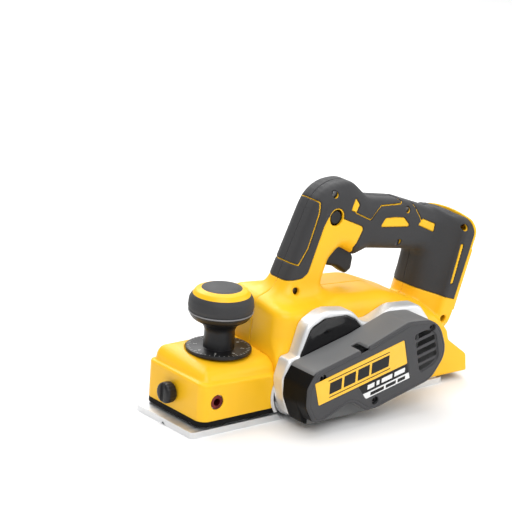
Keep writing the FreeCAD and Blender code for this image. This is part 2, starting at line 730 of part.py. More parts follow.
def pulley(x, z, radius):
    left = belt_y - pulley_width / 2
    right = belt_y + pulley_width / 2
    flat = rod(x, z, radius, left, right)
    flanges = [rod(x, z, radius + 1.2, y, y + 1.4) for y in (left, right - 1.4)]
    shape = join(flat, *flanges)
    for k in range(4):
        y = belt_y - 4.2 + 2.4 * k
        shape = shape.cut(rod(x, z, radius + 1, y, y + 1.2).cut(rod(x, z, radius - 1.1, y, y + 1.2)))
    return shape.cut(rod(x, z, bearing_bore, -100, 0))


blade_slot = block(drum_x + blade_seat, drum_x + drum_radius + 5, -half_drum - 1, half_drum + 1,
                   drum_z - 0.6, drum_z + 5.8)
clamp_holes = [Part.makeCylinder(1.8, 5.2, Vector(drum_x + 16, y, drum_z + 0.6)) for y in (-28, 0, 28)]
clamp = block(drum_x + blade_seat, drum_x + 20.4, -half_drum + 0.5, half_drum - 0.5, drum_z + 0.6, drum_z + 5.8)
keep("cutter_drum", cut(rod(drum_x, drum_z, drum_radius, -half_drum, half_drum), *twice(blade_slot),
                        rod(drum_x, drum_z, 7, -60, 60)))
keep("drum_blades", *twice(block(drum_x + 14, drum_x + cutting_radius, -half_drum, half_drum,
                                 drum_z - 0.6, drum_z + 0.6)))
keep("blade_clamps", *twice(cut(clamp, *clamp_holes)))
keep("clamp_bolts", *[bolt for hole in clamp_holes for bolt in twice(hole)])
keep("drum_shaft", join(rod(drum_x, drum_z, 7, -half_drum, half_drum),
                        rod(drum_x, drum_z, bearing_bore, shaft_start, half_sole + 7.5)))
keep("drum_pulley", pulley(drum_x, drum_z, drum_pulley_radius))
keep("drum_bearings", bearing(drum_x, drum_z, plate_inner - 8), bearing(drum_x, drum_z, half_sole + 0.6))


def bearing_carrier():
    """Right-hand end plate of the drum, with its bearing seat above the rebate line."""
    cover = rod(drum_x, drum_z, hood_radius + 3, half_sole, half_sole + 3)
    cover = cover.common(block(0, far, 0, 90, skirt_bottom + 0.6, far))
    seat = rod(drum_x, drum_z, 14.4, half_sole, half_sole + 9.5)
    shape = join(cover, seat)
    shape = cut(shape, rod(drum_x, drum_z, bearing_radius, half_sole - 1, half_sole + 8),
                rod(duct_x, duct_z, duct_radius + duct_wall + 2.6, 0, 90))
    for angle in (35, 145):
        x = drum_x + 21 * math.cos(math.radians(angle))
        z = drum_z + 21 * math.sin(math.radians(angle))
        shape = shape.cut(rod(x, z, 1.6, 0, 90))
    return shape


keep("bearing_carrier", bearing_carrier())


# ---------------------------------------------------------------- motor
stack_y = -4.0 - stack_length / 2


def stator():
    ring = rod(motor_x, motor_z, stator_radius, stack_y, stack_y + stack_length)
    ring = ring.cut(rod(motor_x, motor_z, rotor_radius + 0.6, -60, 60))
    for k in range(6):
        slot = block(motor_x - 3.2, motor_x + 3.2, -60, 60, motor_z + rotor_radius + 2.6, motor_z + 24)
        slot.rotate(Vector(motor_x, 0, motor_z), Vector(0, 1, 0), 60 * k + 30)
        ring = ring.cut(slot)
    return ring


def windings():
    coils = []
    for k in range(6):
        turn = block(motor_x - 3.1, motor_x + 3.1, stack_y - 5, stack_y + stack_length + 5,
                     motor_z + rotor_radius + 2.8, motor_z + 23.8)
        turn.rotate(Vector(motor_x, 0, motor_z), Vector(0, 1, 0), 60 * k + 30)
        coils.append(turn)
    return coils


def cooling_fan():
    hub = rod(motor_x, motor_z, 7, 21, 28).fuse(rod(motor_x, motor_z, 25, 26.6, 28))
    blades = []
    for k in range(11):
        blade = block(motor_x + 5, motor_x + 25, 21, 27, motor_z - 0.7, motor_z + 0.7)
        blade.rotate(Vector(motor_x, 0, motor_z), Vector(0, 1, 0), 360 * k / 11)
        blades.append(blade)
    return join(hub, *blades).cut(rod(motor_x, motor_z, bearing_bore, 0, 60))


keep("motor_carrier", rod(motor_x, motor_z, stator_radius + 3, stack_y, stack_y + stack_length - 2).cut(
    rod(motor_x, motor_z, stator_radius, -60, 60)))
keep("motor_stator", stator())
keep("motor_windings", *windings())
keep("motor_rotor", rod(motor_x, motor_z, rotor_radius, stack_y, stack_y + stack_length).cut(
    rod(motor_x, motor_z, bearing_bore, -60, 60)))
keep("motor_shaft", rod(motor_x, motor_z, bearing_bore, shaft_start, 37))
keep("motor_pulley", pulley(motor_x, motor_z, motor_pulley_radius))
keep("cooling_fan", cooling_fan())
keep("motor_bearings", bearing(motor_x, motor_z, plate_inner - 8), bearing(motor_x, motor_z, 30))


# ---------------------------------------------------------------- trigger, switch and electronics
def trigger():
    return side_slab(trigger_points, -7, 7).cut(rod(*trigger_pivot, 2 + running, -20, 20))


def lead(points, radius, y):
    """Round wire with rounded bends, drawn in the side view."""
    corners = [Vector(p[0], 0, p[1]) for p in points]
    edges = []
    last = corners[0]
    for before, corner, after in zip(corners, corners[1:], corners[2:]):
        start, middle, end = corner_arc(before, corner, after, 5)
        edges += [Part.LineSegment(last, start).toShape(), Part.Arc(start, middle, end).toShape()]
        last = end
    edges.append(Part.LineSegment(last, corners[-1]).toShape())
    ring = Part.Wire([Part.makeCircle(radius, corners[0], corners[1] - corners[0])])
    tube = Part.Wire(edges).makePipeShell([ring], True, False)
    tube.translate(Vector(0, y, 0))
    return tube.Solids[0]


switch_box = (drum_x + 57, drum_x + 84, 149.6, 164.0)
keep("trigger", trigger())
keep("trigger_pin", rod(*trigger_pivot, 2, -13, 13))
keep("trigger_spring", coil(2.4, 0.4, 3.8, 3, drum_x + 69, 0, 145.2))
button_end = grip_half_width - 1.0
keep("lock_off_button", rod(*lock_place, 6.5, -button_end, button_end))
keep("switch_body", block(switch_box[0], switch_box[1], -9, 9, switch_box[2], switch_box[3]))
keep("controller_module", leaning_box(-14, 46, 9, 52, 4))
keep("terminal_block", cut(leaning_box(1.5, 38, 11, 38, 0), *[leaning_box(7.2, 2.4, 4, 24, -8).translated(
    Vector(0, y, 0)) for y in (-12, -6, 0, 6, 12)]))
keep("terminal_contacts", *[leaning_box(7.2, 1.0, 4, 22, -8).translated(Vector(0, y, 0))
                            for y in (-12, -6, 0, 6, 12)])
keep("switch_leads", *[lead([(switch_box[1], 157), (drum_x + 104, 157), (sole_end - 34, 152),
                             (sole_end - 4, 136)], 1.1, y) for y in (-4, 4)])
keep("motor_leads", *[lead([(sole_end - 10, 74), (sole_end - 18, 62), (motor_x + 34, 58)], 1.1, y)
                      for y in (-8, -3, 2)])
keep("blade_wrench", join(bar(2, wrench_place[0], wrench_place[1], 3, 42),
                          bar(-1.5, wrench_place[0], wrench_place[1], 9.2, 11.2)))
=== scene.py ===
# %% [markdown]
# A cordless hand planer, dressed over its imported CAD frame.
# The frame gives every place and axis. The moulded shells are drawn again here as
# distance fields: a field is a number at every point, negative inside the plastic, and
# the surface is where it passes zero. Two fields melt into each other with one formula,
# which is how a moulding flows from a handle into a body, and which is hard to do by
# moving vertices or with plain booleans.
# %% Load the frame
import bmesh
import bpy
import json
import math
import numpy as np
from mathutils import Matrix, Vector


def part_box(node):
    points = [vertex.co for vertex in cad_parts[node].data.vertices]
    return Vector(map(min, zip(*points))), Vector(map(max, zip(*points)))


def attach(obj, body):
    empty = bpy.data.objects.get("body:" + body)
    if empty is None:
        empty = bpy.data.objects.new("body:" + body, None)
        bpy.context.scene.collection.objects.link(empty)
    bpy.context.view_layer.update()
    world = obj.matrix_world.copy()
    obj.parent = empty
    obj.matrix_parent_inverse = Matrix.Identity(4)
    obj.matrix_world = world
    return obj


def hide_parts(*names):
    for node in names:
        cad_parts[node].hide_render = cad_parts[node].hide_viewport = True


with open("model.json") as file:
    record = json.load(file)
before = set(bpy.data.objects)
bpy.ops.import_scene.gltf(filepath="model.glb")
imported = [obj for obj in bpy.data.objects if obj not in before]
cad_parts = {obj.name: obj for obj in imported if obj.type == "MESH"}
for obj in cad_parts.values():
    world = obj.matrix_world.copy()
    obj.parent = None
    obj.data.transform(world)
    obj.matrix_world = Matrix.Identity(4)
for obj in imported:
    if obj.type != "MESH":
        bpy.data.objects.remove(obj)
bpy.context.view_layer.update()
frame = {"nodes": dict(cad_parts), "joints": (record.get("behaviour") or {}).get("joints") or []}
nodes = frame["nodes"]
joints = {joint["name"]: joint for joint in frame["joints"]}

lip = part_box("front_shoe")[0].x                # drawings count x in mm back from this edge
drum_x = (joints["drum_spin"]["pos_m"][0] - lip) * 1000
drum_z = joints["drum_spin"]["pos_m"][2] * 1000
motor_x = (joints["rotor_spin"]["pos_m"][0] - lip) * 1000
motor_z = joints["rotor_spin"]["pos_m"][2] * 1000
knob_x = (joints["knob_turn"]["pos_m"][0] - lip) * 1000
trigger_pin = joints["trigger_pull"]["pos_m"]
pivot = ((trigger_pin[0] - lip) * 1000, trigger_pin[2] * 1000)
sole_end = (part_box("rear_shoe")[1].x - lip) * 1000
half_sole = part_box("front_shoe")[1].y * 1000
plate_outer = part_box("side_plate")[0].y * 1000
cover_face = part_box("belt_cover")[0].y * 1000
low_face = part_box("drum_pulley")[0].y * 1000 - 3.0
lean = math.radians(17.3)                      # the battery face leans back by this much
battery_out, battery_mid = 18.6, 100.0         # its middle, past the sole's end and above the sole
drum_clear = 27.6                              # radius of the room round the turning drum
print(len(nodes), "nodes; drum at", round(drum_x, 1), round(drum_z, 1))
print("motor at", round(motor_x, 1), round(motor_z, 1))


# %% [markdown]
# Outlines are the designer's side views: corner points, each with the radius that rounds it.
# Only the corners are kept, and the arcs are worked out, so a shape is changed by moving
# one point. The distance from an outline is then measured at every grid point.
# %% Outlines and their distance
def from_drum(points):
    return [(drum_x + p[0],) + tuple(p[1:]) for p in points]


def from_end(points):
    return [(sole_end + p[0],) + tuple(p[1:]) for p in points]


def traced(points, steps=7):
    """Closed line through the points, with each rounded corner as a run of short steps."""
    line = []
    for i, point in enumerate(points):
        corner = Vector(point[:2])
        if len(point) < 3 or not point[2]:
            line.append(corner)
            continue
        back = (Vector(points[i - 1][:2]) - corner).normalized()
        ahead = (Vector(points[(i + 1) % len(points)][:2]) - corner).normalized()
        half = back.angle(ahead) / 2
        centre = corner + (back + ahead).normalized() * (point[2] / math.sin(half))
        start = corner + back * (point[2] / math.tan(half)) - centre
        turn = start.angle_signed(corner + ahead * (point[2] / math.tan(half)) - centre)
        for k in range(steps + 1):
            line.append(centre + Matrix.Rotation(-turn * k / steps, 2) @ start)
    return line


def segment_distance(line, a, b, closed=True):
    """Distance from a run of points at every (a, b), and which points it goes round."""
    nearest = np.full(np.broadcast(a, b).shape, 1e9, np.float32)
    inside = np.zeros(nearest.shape, bool)
    for (px, pz), (qx, qz) in zip(line, line[1:] + (line[:1] if closed else [])):
        ex, ez = qx - px, qz - pz
        along = np.clip(((a - px) * ex + (b - pz) * ez) / max(ex * ex + ez * ez, 1e-9), 0, 1)
        nearest = np.minimum(nearest, (a - px - ex * along) ** 2 + (b - pz - ez * along) ** 2)
        if closed and qz != pz:
            inside ^= ((pz <= b) != (qz <= b)) & (a < px + (b - pz) / (qz - pz) * ex)
    return np.sqrt(nearest), inside


def flat(points, a, b):
    """Signed distance from a rounded outline, negative inside it."""
    far, inside = segment_distance(traced(points), a, b)
    return np.where(inside, -far, far).astype(np.float32)


def line_zone(points, a, b, half_width):
    """Signed distance from a drawn line of some width."""
    return segment_distance([Vector(p) for p in points], a, b, closed=False)[0] - half_width


# %% [markdown]
# The shaping words of a field maker: pillow gives an outline thickness and soft long
# edges, melt joins two fields with a fillet, and without takes one away from another.
# net then finds the surface: one vertex in each grid cell that the surface crosses, at the
# middle of its crossings, and one quad round each crossed grid line. It gives even, closed
# quads, so nothing has to be repaired afterwards. moulded makes the finished piece of it.
# %% Shaping fields
def pillow(side, y, half, edge):
    a = side + edge
    b = np.abs(y) - half + edge
    outside = np.sqrt(np.maximum(a, 0) ** 2 + np.maximum(b, 0) ** 2)
    return np.minimum(np.maximum(a, b), 0) + outside - edge


def slab(side, y, low, high, edge=0.4):
    return pillow(side, y - (low + high) / 2, (high - low) / 2, edge)


def melt(a, b, fillet):
    share = np.clip(0.5 + 0.5 * (b - a) / fillet, 0, 1)
    return b + (a - b) * share - fillet * share * (1 - share)


def without(a, b, fillet=0.5):
    return -melt(-a, b, fillet)


def both(a, b, fillet=0.5):
    return -melt(-a, -b, fillet)


def tube(a, b, centre_a, centre_b, radius):
    return np.sqrt((a - centre_a) ** 2 + (b - centre_b) ** 2) - radius


def brick(x, y, z, low, high, edge=0.6):
    gaps = [np.abs(v - (a + b) / 2) - (b - a) / 2 + edge for v, a, b in zip((x, y, z), low, high)]
    outside = np.sqrt(sum(np.maximum(gap, 0) ** 2 for gap in gaps))
    return np.minimum(np.maximum(np.maximum(gaps[0], gaps[1]), gaps[2]), 0) + outside - edge


def ramp(v, start, end):
    share = np.clip((v - start) / (end - start), 0, 1)
    return share * share * (3 - 2 * share)


def samples(low, high, step):
    """Three axes of sample points, in mm, shaped to work against each other."""
    x, y, z = (np.arange(a - 2 * step, b + 2.5 * step, step, dtype=np.float32)
               for a, b in zip(low, high))
    return x[:, None, None], y[None, :, None], z[None, None, :]


# %% Finding the surface
def crossed_cells(values):
    inside = (values < 0).astype(np.uint8)
    corners = [(i, j, k) for i in (0, 1) for j in (0, 1) for k in (0, 1)]
    count = sum(inside[i:inside.shape[0] - 1 + i, j:inside.shape[1] - 1 + j, k:inside.shape[2] - 1 + k]
                for i, j, k in corners)
    return (count > 0) & (count < 8), corners


def net(values):
    """Vertices in grid units and quads of the surface where values pass zero."""
    active, corners = crossed_cells(values)
    cells = np.argwhere(active)
    at_corner = {c: values[tuple((cells + c).T)] for c in corners}
    total = np.zeros(cells.shape, np.float64)
    hits = np.zeros(len(cells))
    for a in corners:
        for axis in range(3):
            if a[axis]:
                continue
            b = tuple(1 if i == axis else a[i] for i in range(3))
            va, vb = at_corner[a], at_corner[b]
            crossing = (va < 0) != (vb < 0)
            share = np.where(crossing, va / np.where(crossing, va - vb, 1), 0)
            for i in range(3):
                total[:, i] += np.where(crossing, a[i] + (share if i == axis else 0), 0)
            hits += crossing
    number = np.full(active.shape, -1, np.int64)
    number[active] = np.arange(len(cells))
    inside = values < 0
    quads = []
    for axis in range(3):
        u, v = (axis + 1) % 3, (axis + 2) % 3
        first = np.take(inside, range(inside.shape[axis] - 1), axis)
        second = np.take(inside, range(1, inside.shape[axis]), axis)
        spots = np.argwhere(first != second)
        spots = spots[(spots[:, u] > 0) & (spots[:, v] > 0)]
        spots = spots[(spots[:, u] < active.shape[u]) & (spots[:, v] < active.shape[v])]
        leaving = inside[tuple(spots.T)]
        step_u, step_v = np.eye(3, dtype=int)[u], np.eye(3, dtype=int)[v]
        ring = [number[tuple((spots - back).T)] for back in (0, step_u, step_u + step_v, step_v)]
        ring = np.stack(ring, 1)
        quads.append(np.where(leaving[:, None], ring, ring[:, ::-1]))
    return cells + total / np.maximum(hits, 1)[:, None], np.concatenate(quads)


def as_mesh(name, points, quads):
    mesh = bpy.data.meshes.new(name)
    mesh.vertices.add(len(points))
    mesh.vertices.foreach_set("co", np.asarray(points, np.float32).ravel())
    mesh.loops.add(quads.size)
    mesh.loops.foreach_set("vertex_index", quads.astype(np.int32).ravel())
    mesh.polygons.add(len(quads))
    mesh.polygons.foreach_set("loop_start", np.arange(0, quads.size, 4, dtype=np.int32))
    mesh.update(calc_edges=True)
    mesh.validate()
    return mesh


def placed(name, mesh, crease=None):
    """Put a mesh into the scene, smooth, with creases sharper than an angle kept."""
    thing = bpy.data.objects.new(name, mesh)
    bpy.context.scene.collection.objects.link(thing)
    mesh.polygons.foreach_set("use_smooth", [True] * len(mesh.polygons))
    if crease:
        mesh.set_sharp_from_angle(angle=math.radians(crease))
    return thing


def moulded(name, field, low, high, step, smooth=2):
    """Sample a field in a box, mesh its surface, and relax the last stair steps away."""
    step = step * 1
    x, y, z = samples(low, high, step)
    values = field(x, y, z).astype(np.float32)
    points, quads = net(values)
    start = np.array([x[0, 0, 0], y[0, 0, 0], z[0, 0, 0]])
    points = (start + points * step) / 1000 + (lip, 0, 0)
    thing = placed(name, as_mesh(name, points, quads))
    if smooth:
        relax = thing.modifiers.new("relax", "SMOOTH")
        relax.factor = 0.4
        relax.iterations = smooth
    print(name, len(points), "vertices at", round(step, 2), "mm")
    return thing


# %% [markdown]
# Paint comes next, so that each piece can take its finish when it is made. Three effects
# are shared by several finishes: the fine grain of a textured mould, the paler places
# where hands and wood rub, and the long scratches of milled metal. Each
# is a node group with its own values in each material. Grain is made from noise at a
# real size in metres, so it is as fine on a button as on the body.
# %% Node groups
def new_group(name, inputs, outputs):
    group = bpy.data.node_groups.new(name, "ShaderNodeTree")
    for label, kind, value in inputs:
        socket = group.interface.new_socket(label, in_out="INPUT", socket_type="NodeSocket" + kind)
        socket.default_value = value
    for label, kind in outputs:
        group.interface.new_socket(label, in_out="OUTPUT", socket_type="NodeSocket" + kind)
    return group, group.nodes.new("NodeGroupInput"), group.nodes.new("NodeGroupOutput")


def add(tree, kind, links=(), **values):
    """A node with its plain values set and its inputs linked by name."""
    node = tree.nodes.new("ShaderNode" + kind)
    for label, value in values.items():
        setattr(node, label, value)
    for label, source in links:
        socket = node.inputs[label]
        if hasattr(source, "links"):
            tree.links.new(source, socket)
        else:
            socket.default_value = source
    return node


def grain_group():
    """Height of a spark-eroded mould: small round pits over a slow unevenness."""
    inputs = [("Scale", "Float", 2600.0), ("Waviness", "Float", 0.25)]
    group, got, out = new_group("mould_grain", inputs, [("Height", "Float"), ("Cloud", "Float")])
    place = add(group, "TexCoord").outputs["Object"]
    size = got.outputs["Scale"]
    fine = add(group, "TexNoise", [("Vector", place), ("Scale", size), ("Detail", 3.0)])
    pits = add(group, "TexVoronoi", [("Vector", place), ("Scale", size)], feature="SMOOTH_F1")
    slow = add(group, "TexNoise", [("Vector", place), ("Scale", 35.0), ("Detail", 2.0)])
    mixed = add(group, "Math", [(0, fine.outputs[0]), (1, pits.outputs["Distance"])],
                operation="ADD")
    lift = add(group, "Math", [(0, slow.outputs[0]), (1, got.outputs["Waviness"])],
               operation="MULTIPLY")
    high = add(group, "Math", [(0, mixed.outputs[0]), (1, lift.outputs[0])], operation="ADD")
    group.links.new(high.outputs[0], out.inputs["Height"])
    group.links.new(slow.outputs[0], out.inputs["Cloud"])
    return group


def wear_group():
    """Mask that is 1 on rubbed outer edges, broken up by noise, and 0 elsewhere."""
    inputs = [("Amount", "Float", 0.5), ("Break Up", "Float", 90.0)]
    group, got, out = new_group("rubbed_edges", inputs, [("Mask", "Float")])
    place = add(group, "TexCoord").outputs["Object"]
    edge = add(group, "NewGeometry").outputs["Pointiness"]
    broad = got.outputs["Break Up"]
    spots = add(group, "TexNoise", [("Vector", place), ("Scale", broad), ("Detail", 6.0)])
    sharp = add(group, "MapRange", [("Value", edge), ("From Min", 0.53), ("From Max", 0.62)])
    broken = add(group, "MapRange", [("Value", spots.outputs[0]), ("From Min", 0.42),
                                     ("From Max", 0.6)])
    mask = add(group, "Math", [(0, sharp.outputs[0]), (1, broken.outputs[0])],
               operation="MULTIPLY")
    amount = add(group, "Math", [(0, mask.outputs[0]), (1, got.outputs["Amount"])],
                 operation="MULTIPLY")
    group.links.new(amount.outputs[0], out.inputs["Mask"])
    return group


def lay_group():
    """Long fine scratches along x, as a milling cutter or a polishing belt leaves."""
    group, got, out = new_group("milled_lay", [("Fineness", "Float", 3500.0)],
                                [("Height", "Float"), ("Streak", "Float")])
    place = add(group, "TexCoord").outputs["Object"]
    drawn = add(group, "Mapping", [("Vector", place), ("Scale", (0.02, 1.0, 1.0))])
    drawn = drawn.outputs[0]
    fine = add(group, "TexNoise", [("Vector", drawn), ("Scale", got.outputs["Fineness"])])
    wide = add(group, "TexNoise", [("Vector", drawn), ("Scale", 400.0), ("Detail", 4.0)])
    group.links.new(fine.outputs[0], out.inputs["Height"])
    group.links.new(wide.outputs[0], out.inputs["Streak"])
    return group


mould_grain, rubbed_edges, milled_lay = grain_group(), wear_group(), lay_group()
print("node groups:", [g.name for g in bpy.data.node_groups])


# %% [markdown]
# A finish is one material: its colour varies a little with the slow cloud, goes paler on
# rubbed edges, and its roughness follows that cloud too. The values that stay the same all
# over are set on the shader itself. Plastics, rubber and metals share this recipe, and
# what sets them apart is grain size, bump height, roughness and metal.
# %% Finishes
def use_group(tree, group, **values):
    node = tree.nodes.new("ShaderNodeGroup")
    node.node_tree = group
    for label, value in values.items():
        node.inputs[label.replace("_", " ")].default_value = value
    return node


def finish(name, colour, rough, rubbed, grain=2600.0, bump=0.12, wear=0.4, metal=0.0, coat=0.0,
           lay=False, spread=0.06, sheen=0.0, specular=0.5):
    material = bpy.data.materials.new(name)
    material.use_nodes = True
    tree = material.node_tree
    shader = tree.nodes["Principled BSDF"]
    shader.inputs["Metallic"].default_value = metal
    shader.inputs["Coat Weight"].default_value = coat
    shader.inputs["Sheen Weight"].default_value = sheen
    shader.inputs["Specular IOR Level"].default_value = specular
    texture = use_group(tree, mould_grain, Scale=grain)
    height, cloud = texture.outputs["Height"], texture.outputs["Cloud"]
    if lay:
        streaks = use_group(tree, milled_lay)
        height, cloud = streaks.outputs["Height"], streaks.outputs["Streak"]
    worn = use_group(tree, rubbed_edges, Amount=wear).outputs["Mask"]
    dark = [c * (1 - spread) for c in colour] + [1]
    light = [min(1, c * (1 + spread)) for c in colour] + [1]
    base = add(tree, "Mix", [(0, cloud), (6, dark), (7, light)], data_type="RGBA")
    paler = add(tree, "Mix", [(0, worn), (6, base.outputs[2]), (7, [*rubbed, 1])], data_type="RGBA")
    tree.links.new(paler.outputs[2], shader.inputs["Base Color"])
    low, high = rough
    roughness = add(tree, "MapRange", [("Value", cloud), ("From Min", 0.3), ("From Max", 0.7),
                                       ("To Min", low), ("To Max", high)])
    tree.links.new(roughness.outputs[0], shader.inputs["Roughness"])
    relief = add(tree, "Bump", [("Height", height), ("Strength", bump), ("Distance", 0.0002)])
    tree.links.new(relief.outputs[0], shader.inputs["Normal"])
    return material


paint = {
    "yellow": finish("yellow_shell", (0.93, 0.51, 0.010), (0.36, 0.46), (1.0, 0.70, 0.18),
                     bump=0.10, specular=0.35),
    "rubber": finish("rubber_grip", (0.034, 0.034, 0.036), (0.58, 0.72), (0.08, 0.08, 0.08),
                     grain=1900.0, bump=0.3, sheen=0.04, specular=0.35),
    "black": finish("black_moulding", (0.007, 0.007, 0.008), (0.32, 0.44), (0.03, 0.03, 0.03),
                    bump=0.10, specular=0.35),
    "gloss": finish("gloss_black", (0.006, 0.006, 0.007), (0.14, 0.22), (0.02, 0.02, 0.02),
                    bump=0.02, coat=0.25, wear=0.2, specular=0.35),
    # The cover's walls: painted lighter than the face, as painted light falling from above.
    "walls_painted_lit": finish("cover_grey", (0.165, 0.167, 0.168), (0.50, 0.62), (0.20, 0.20, 0.20),
                   grain=2300.0, bump=0.22, specular=0.3),
    "shade": finish("matt_black", (0.003, 0.003, 0.003), (0.5, 0.6), (0.01, 0.01, 0.01),
                    grain=2300.0, bump=0.1, specular=0.12),
    # The cover's face: the same plastic painted darker, as painted shade.
    "face_painted_shade": finish("cover_panel", (0.050, 0.050, 0.053), (0.42, 0.54), (0.16, 0.16, 0.16),
                    grain=2300.0, bump=0.22, specular=0.35),
    "sole": finish("milled_sole", (0.78, 0.79, 0.80), (0.48, 0.62), (0.75, 0.75, 0.75),
                   bump=0.25, metal=1.0, lay=True, spread=0.05),
    "cast": finish("cast_alloy", (0.80, 0.81, 0.82), (0.34, 0.48), (0.95, 0.95, 0.95),
                   grain=1500.0, bump=0.25, metal=0.55, spread=0.03),
    "steel": finish("ground_steel", (0.55, 0.55, 0.57), (0.22, 0.36), (0.8, 0.8, 0.8),
                    metal=1.0, bump=0.08),
    "blued": finish("black_steel", (0.05, 0.05, 0.055), (0.3, 0.42), (0.3, 0.3, 0.3),
                    metal=0.9, bump=0.10),
    # Near-black dark red on the bushes in the fence holes, the tone those holes show.
    "red": finish("near_black_red", (0.10, 0.004, 0.008), (0.3, 0.4), (0.3, 0.05, 0.05),
                  metal=0.6, bump=0.05),
    "copper": finish("wound_copper", (0.65, 0.24, 0.10), (0.3, 0.4), (0.8, 0.4, 0.25),
                     metal=1.0, lay=True),
    "brass": finish("brass_strip", (0.75, 0.50, 0.18), (0.25, 0.35), (0.9, 0.75, 0.4),
                    metal=1.0, bump=0.05),
    "belt": finish("belt_rubber", (0.02, 0.02, 0.02), (0.6, 0.75), (0.06, 0.06, 0.06),
                   grain=1200.0, bump=0.4),
    "wire": finish("wire_cover", (0.03, 0.03, 0.03), (0.35, 0.45), (0.08, 0.08, 0.08),
                   bump=0.05),
    "label": finish("label_yellow", (0.93, 0.52, 0.03), (0.24, 0.32), (1.0, 0.8, 0.3),
                    bump=0.02, wear=0.2),
    "print": finish("label_black", (0.010, 0.010, 0.010), (0.26, 0.34), (0.05, 0.05, 0.05),
                    bump=0.02, wear=0.2, specular=0.25),
    "white": finish("label_white", (0.80, 0.80, 0.80), (0.28, 0.36), (0.95, 0.95, 0.95),
                    bump=0.02, wear=0.2),
    "ring": finish("grey_ring", (0.20, 0.20, 0.21), (0.30, 0.40), (0.35, 0.35, 0.35),
                   bump=0.05, wear=0.2),
    "scale": finish("scale_print", (0.55, 0.55, 0.52), (0.4, 0.5), (0.8, 0.8, 0.8),
                    bump=0.02, wear=0.1),
}
print(len(paint), "finishes")


def dress(thing, colour, body, *cad, slot=None):
    """Give a piece its finish, its body and the CAD nodes it stands for."""
    thing.data.materials.clear()
    thing.data.materials.append(paint[colour])
    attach(thing, body)
    if cad:
        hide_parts(*cad)
    return thing


# %% [markdown]
# The CAD pieces whose shape is already right keep it and only take a finish: the soles,
# shafts, bearings, springs, screws and everything inside the shells.
# %% Finishes for the CAD pieces
cad_finish = {
    "sole": ["front_shoe", "rear_shoe", "bearing_carrier"],
    "cast": ["frame_casting", "motor_carrier", "cutter_drum", "drum_pulley", "motor_pulley"],
    "steel": ["shoe_screws", "kickstand_pin", "depth_spindle", "depth_spring", "plate_screws",
              "drum_blades", "blade_clamps", "clamp_bolts", "drum_shaft", "drum_bearings",
              "motor_rotor", "motor_shaft", "motor_bearings", "trigger_pin", "trigger_spring"],
    "blued": ["housing_screws", "cover_screws", "motor_stator"],
    "black": ["chip_duct", "cooling_fan", "controller_module", "switch_body", "terminal_block",
              "kickstand"],
    "shade": ["front_skirt"],
    "red": ["fence_bushes"],
    "copper": ["motor_windings"],
    "brass": ["terminal_contacts"],
    "belt": ["drive_belt"],
    "wire": ["switch_leads", "motor_leads"],
}
for colour, names in cad_finish.items():
    for name in names:
        nodes[name].data.materials.clear()
        nodes[name].data.materials.append(paint[colour])
        nodes[name].data.set_sharp_from_angle(angle=math.radians(35))
print(sum(map(len, cad_finish.values())), "CAD pieces painted")


# %% [markdown]
# The yellow shell is one flowing form: a rounded body, the D of the grip, and the wide
# leaning foot that carries the battery. Each is a field of its own. The grip's long edges
# are rounded until its section is nearly oval. The body's top leans to the belt side.
# %% Fields of the body and the handle
body_points = from_drum([(-23, 7), (-23, 58, 5), (-18, 110.5, 10), (22, 105.5, 30), (104, 100.5, 60)]) \
    + from_end([(-24, 79.5, 60), (0, 51, 8), (2, 42, 8), (26, 24, 6), (28, 7)])
handle_points = from_drum([(-5, 96), (42, 202.4, 34), (76, 202.4, 20), (97, 183.5, 20)]) \
    + from_end([(-42, 176.2, 30), (20, 153, 8), (4, 72), (-28, 72), (-22, 87), (-16.5, 124.6, 8)]) \
    + from_drum([(97, 135.5, 5), (83, 131.5, 3), (64, 142.5, 8), (53, 132, 5), (40, 96)])
foot_points = from_end([(-32, 170.5, 6), (47, 143, 4), (17, 50, 4), (-30, 50), (-24, 82),
                        (-16, 131), (-20, 150)])
grip_half = 19.0
column_half = 33.0
foot_half = 36.4
flange_half = 37.0


def leaned(x, z):
    """Coordinates square to the battery face: out from it, and up along it."""
    a, b = x - sole_end - battery_out, z - battery_mid
    return a * math.cos(lean) - b * math.sin(lean), a * math.sin(lean) + b * math.cos(lean)


def body_field(x, y, z):
    edge = 2.5 + 14 * ramp(z, 52, 78) * (1 - ramp(x, sole_end - 25, sole_end - 5))
    shape = pillow(flat(body_points, x, z), y, half_sole, edge)
    top = 105.0 + 0.16 * y + 30 * ramp(x, drum_x + 30, drum_x + 90)
    return both(shape, (z - top) * 0.98, 8)


def handle_field(x, y, z):
    grip = pillow(flat(handle_points, x, z), y, grip_half, 12.5)
    middle = sole_end - 17 + column_half + math.tan(lean) * (z - battery_mid)
    ahead = np.minimum(x - middle, 0) * math.cos(lean)
    round_front = np.sqrt(ahead ** 2 + y ** 2) - column_half
    side = flat(foot_points, x, z)
    out = leaned(x, z)[0]
    column = both(pillow(side, y, column_half, 12), round_front, 3)
    rear = both(pillow(side, y, foot_half, 13), -16 - out, 4)
    return np.maximum(melt(grip, melt(column, rear, 9), 9), out + 1.2)


def flange_field(x, y, z):
    """The rim of the battery face: a leaning plate that stands out past the rubber."""
    out, up = leaned(x, z)
    crown = 56.0 - 0.0035 * y ** 2
    plate = pillow(np.maximum(up - crown, -44 - up), y, flange_half, 9)
    bent = out + 0.5 + 6 * ramp(up, 38, 60)
    return both(plate, np.maximum(bent, -2.8 - bent), 1.0)


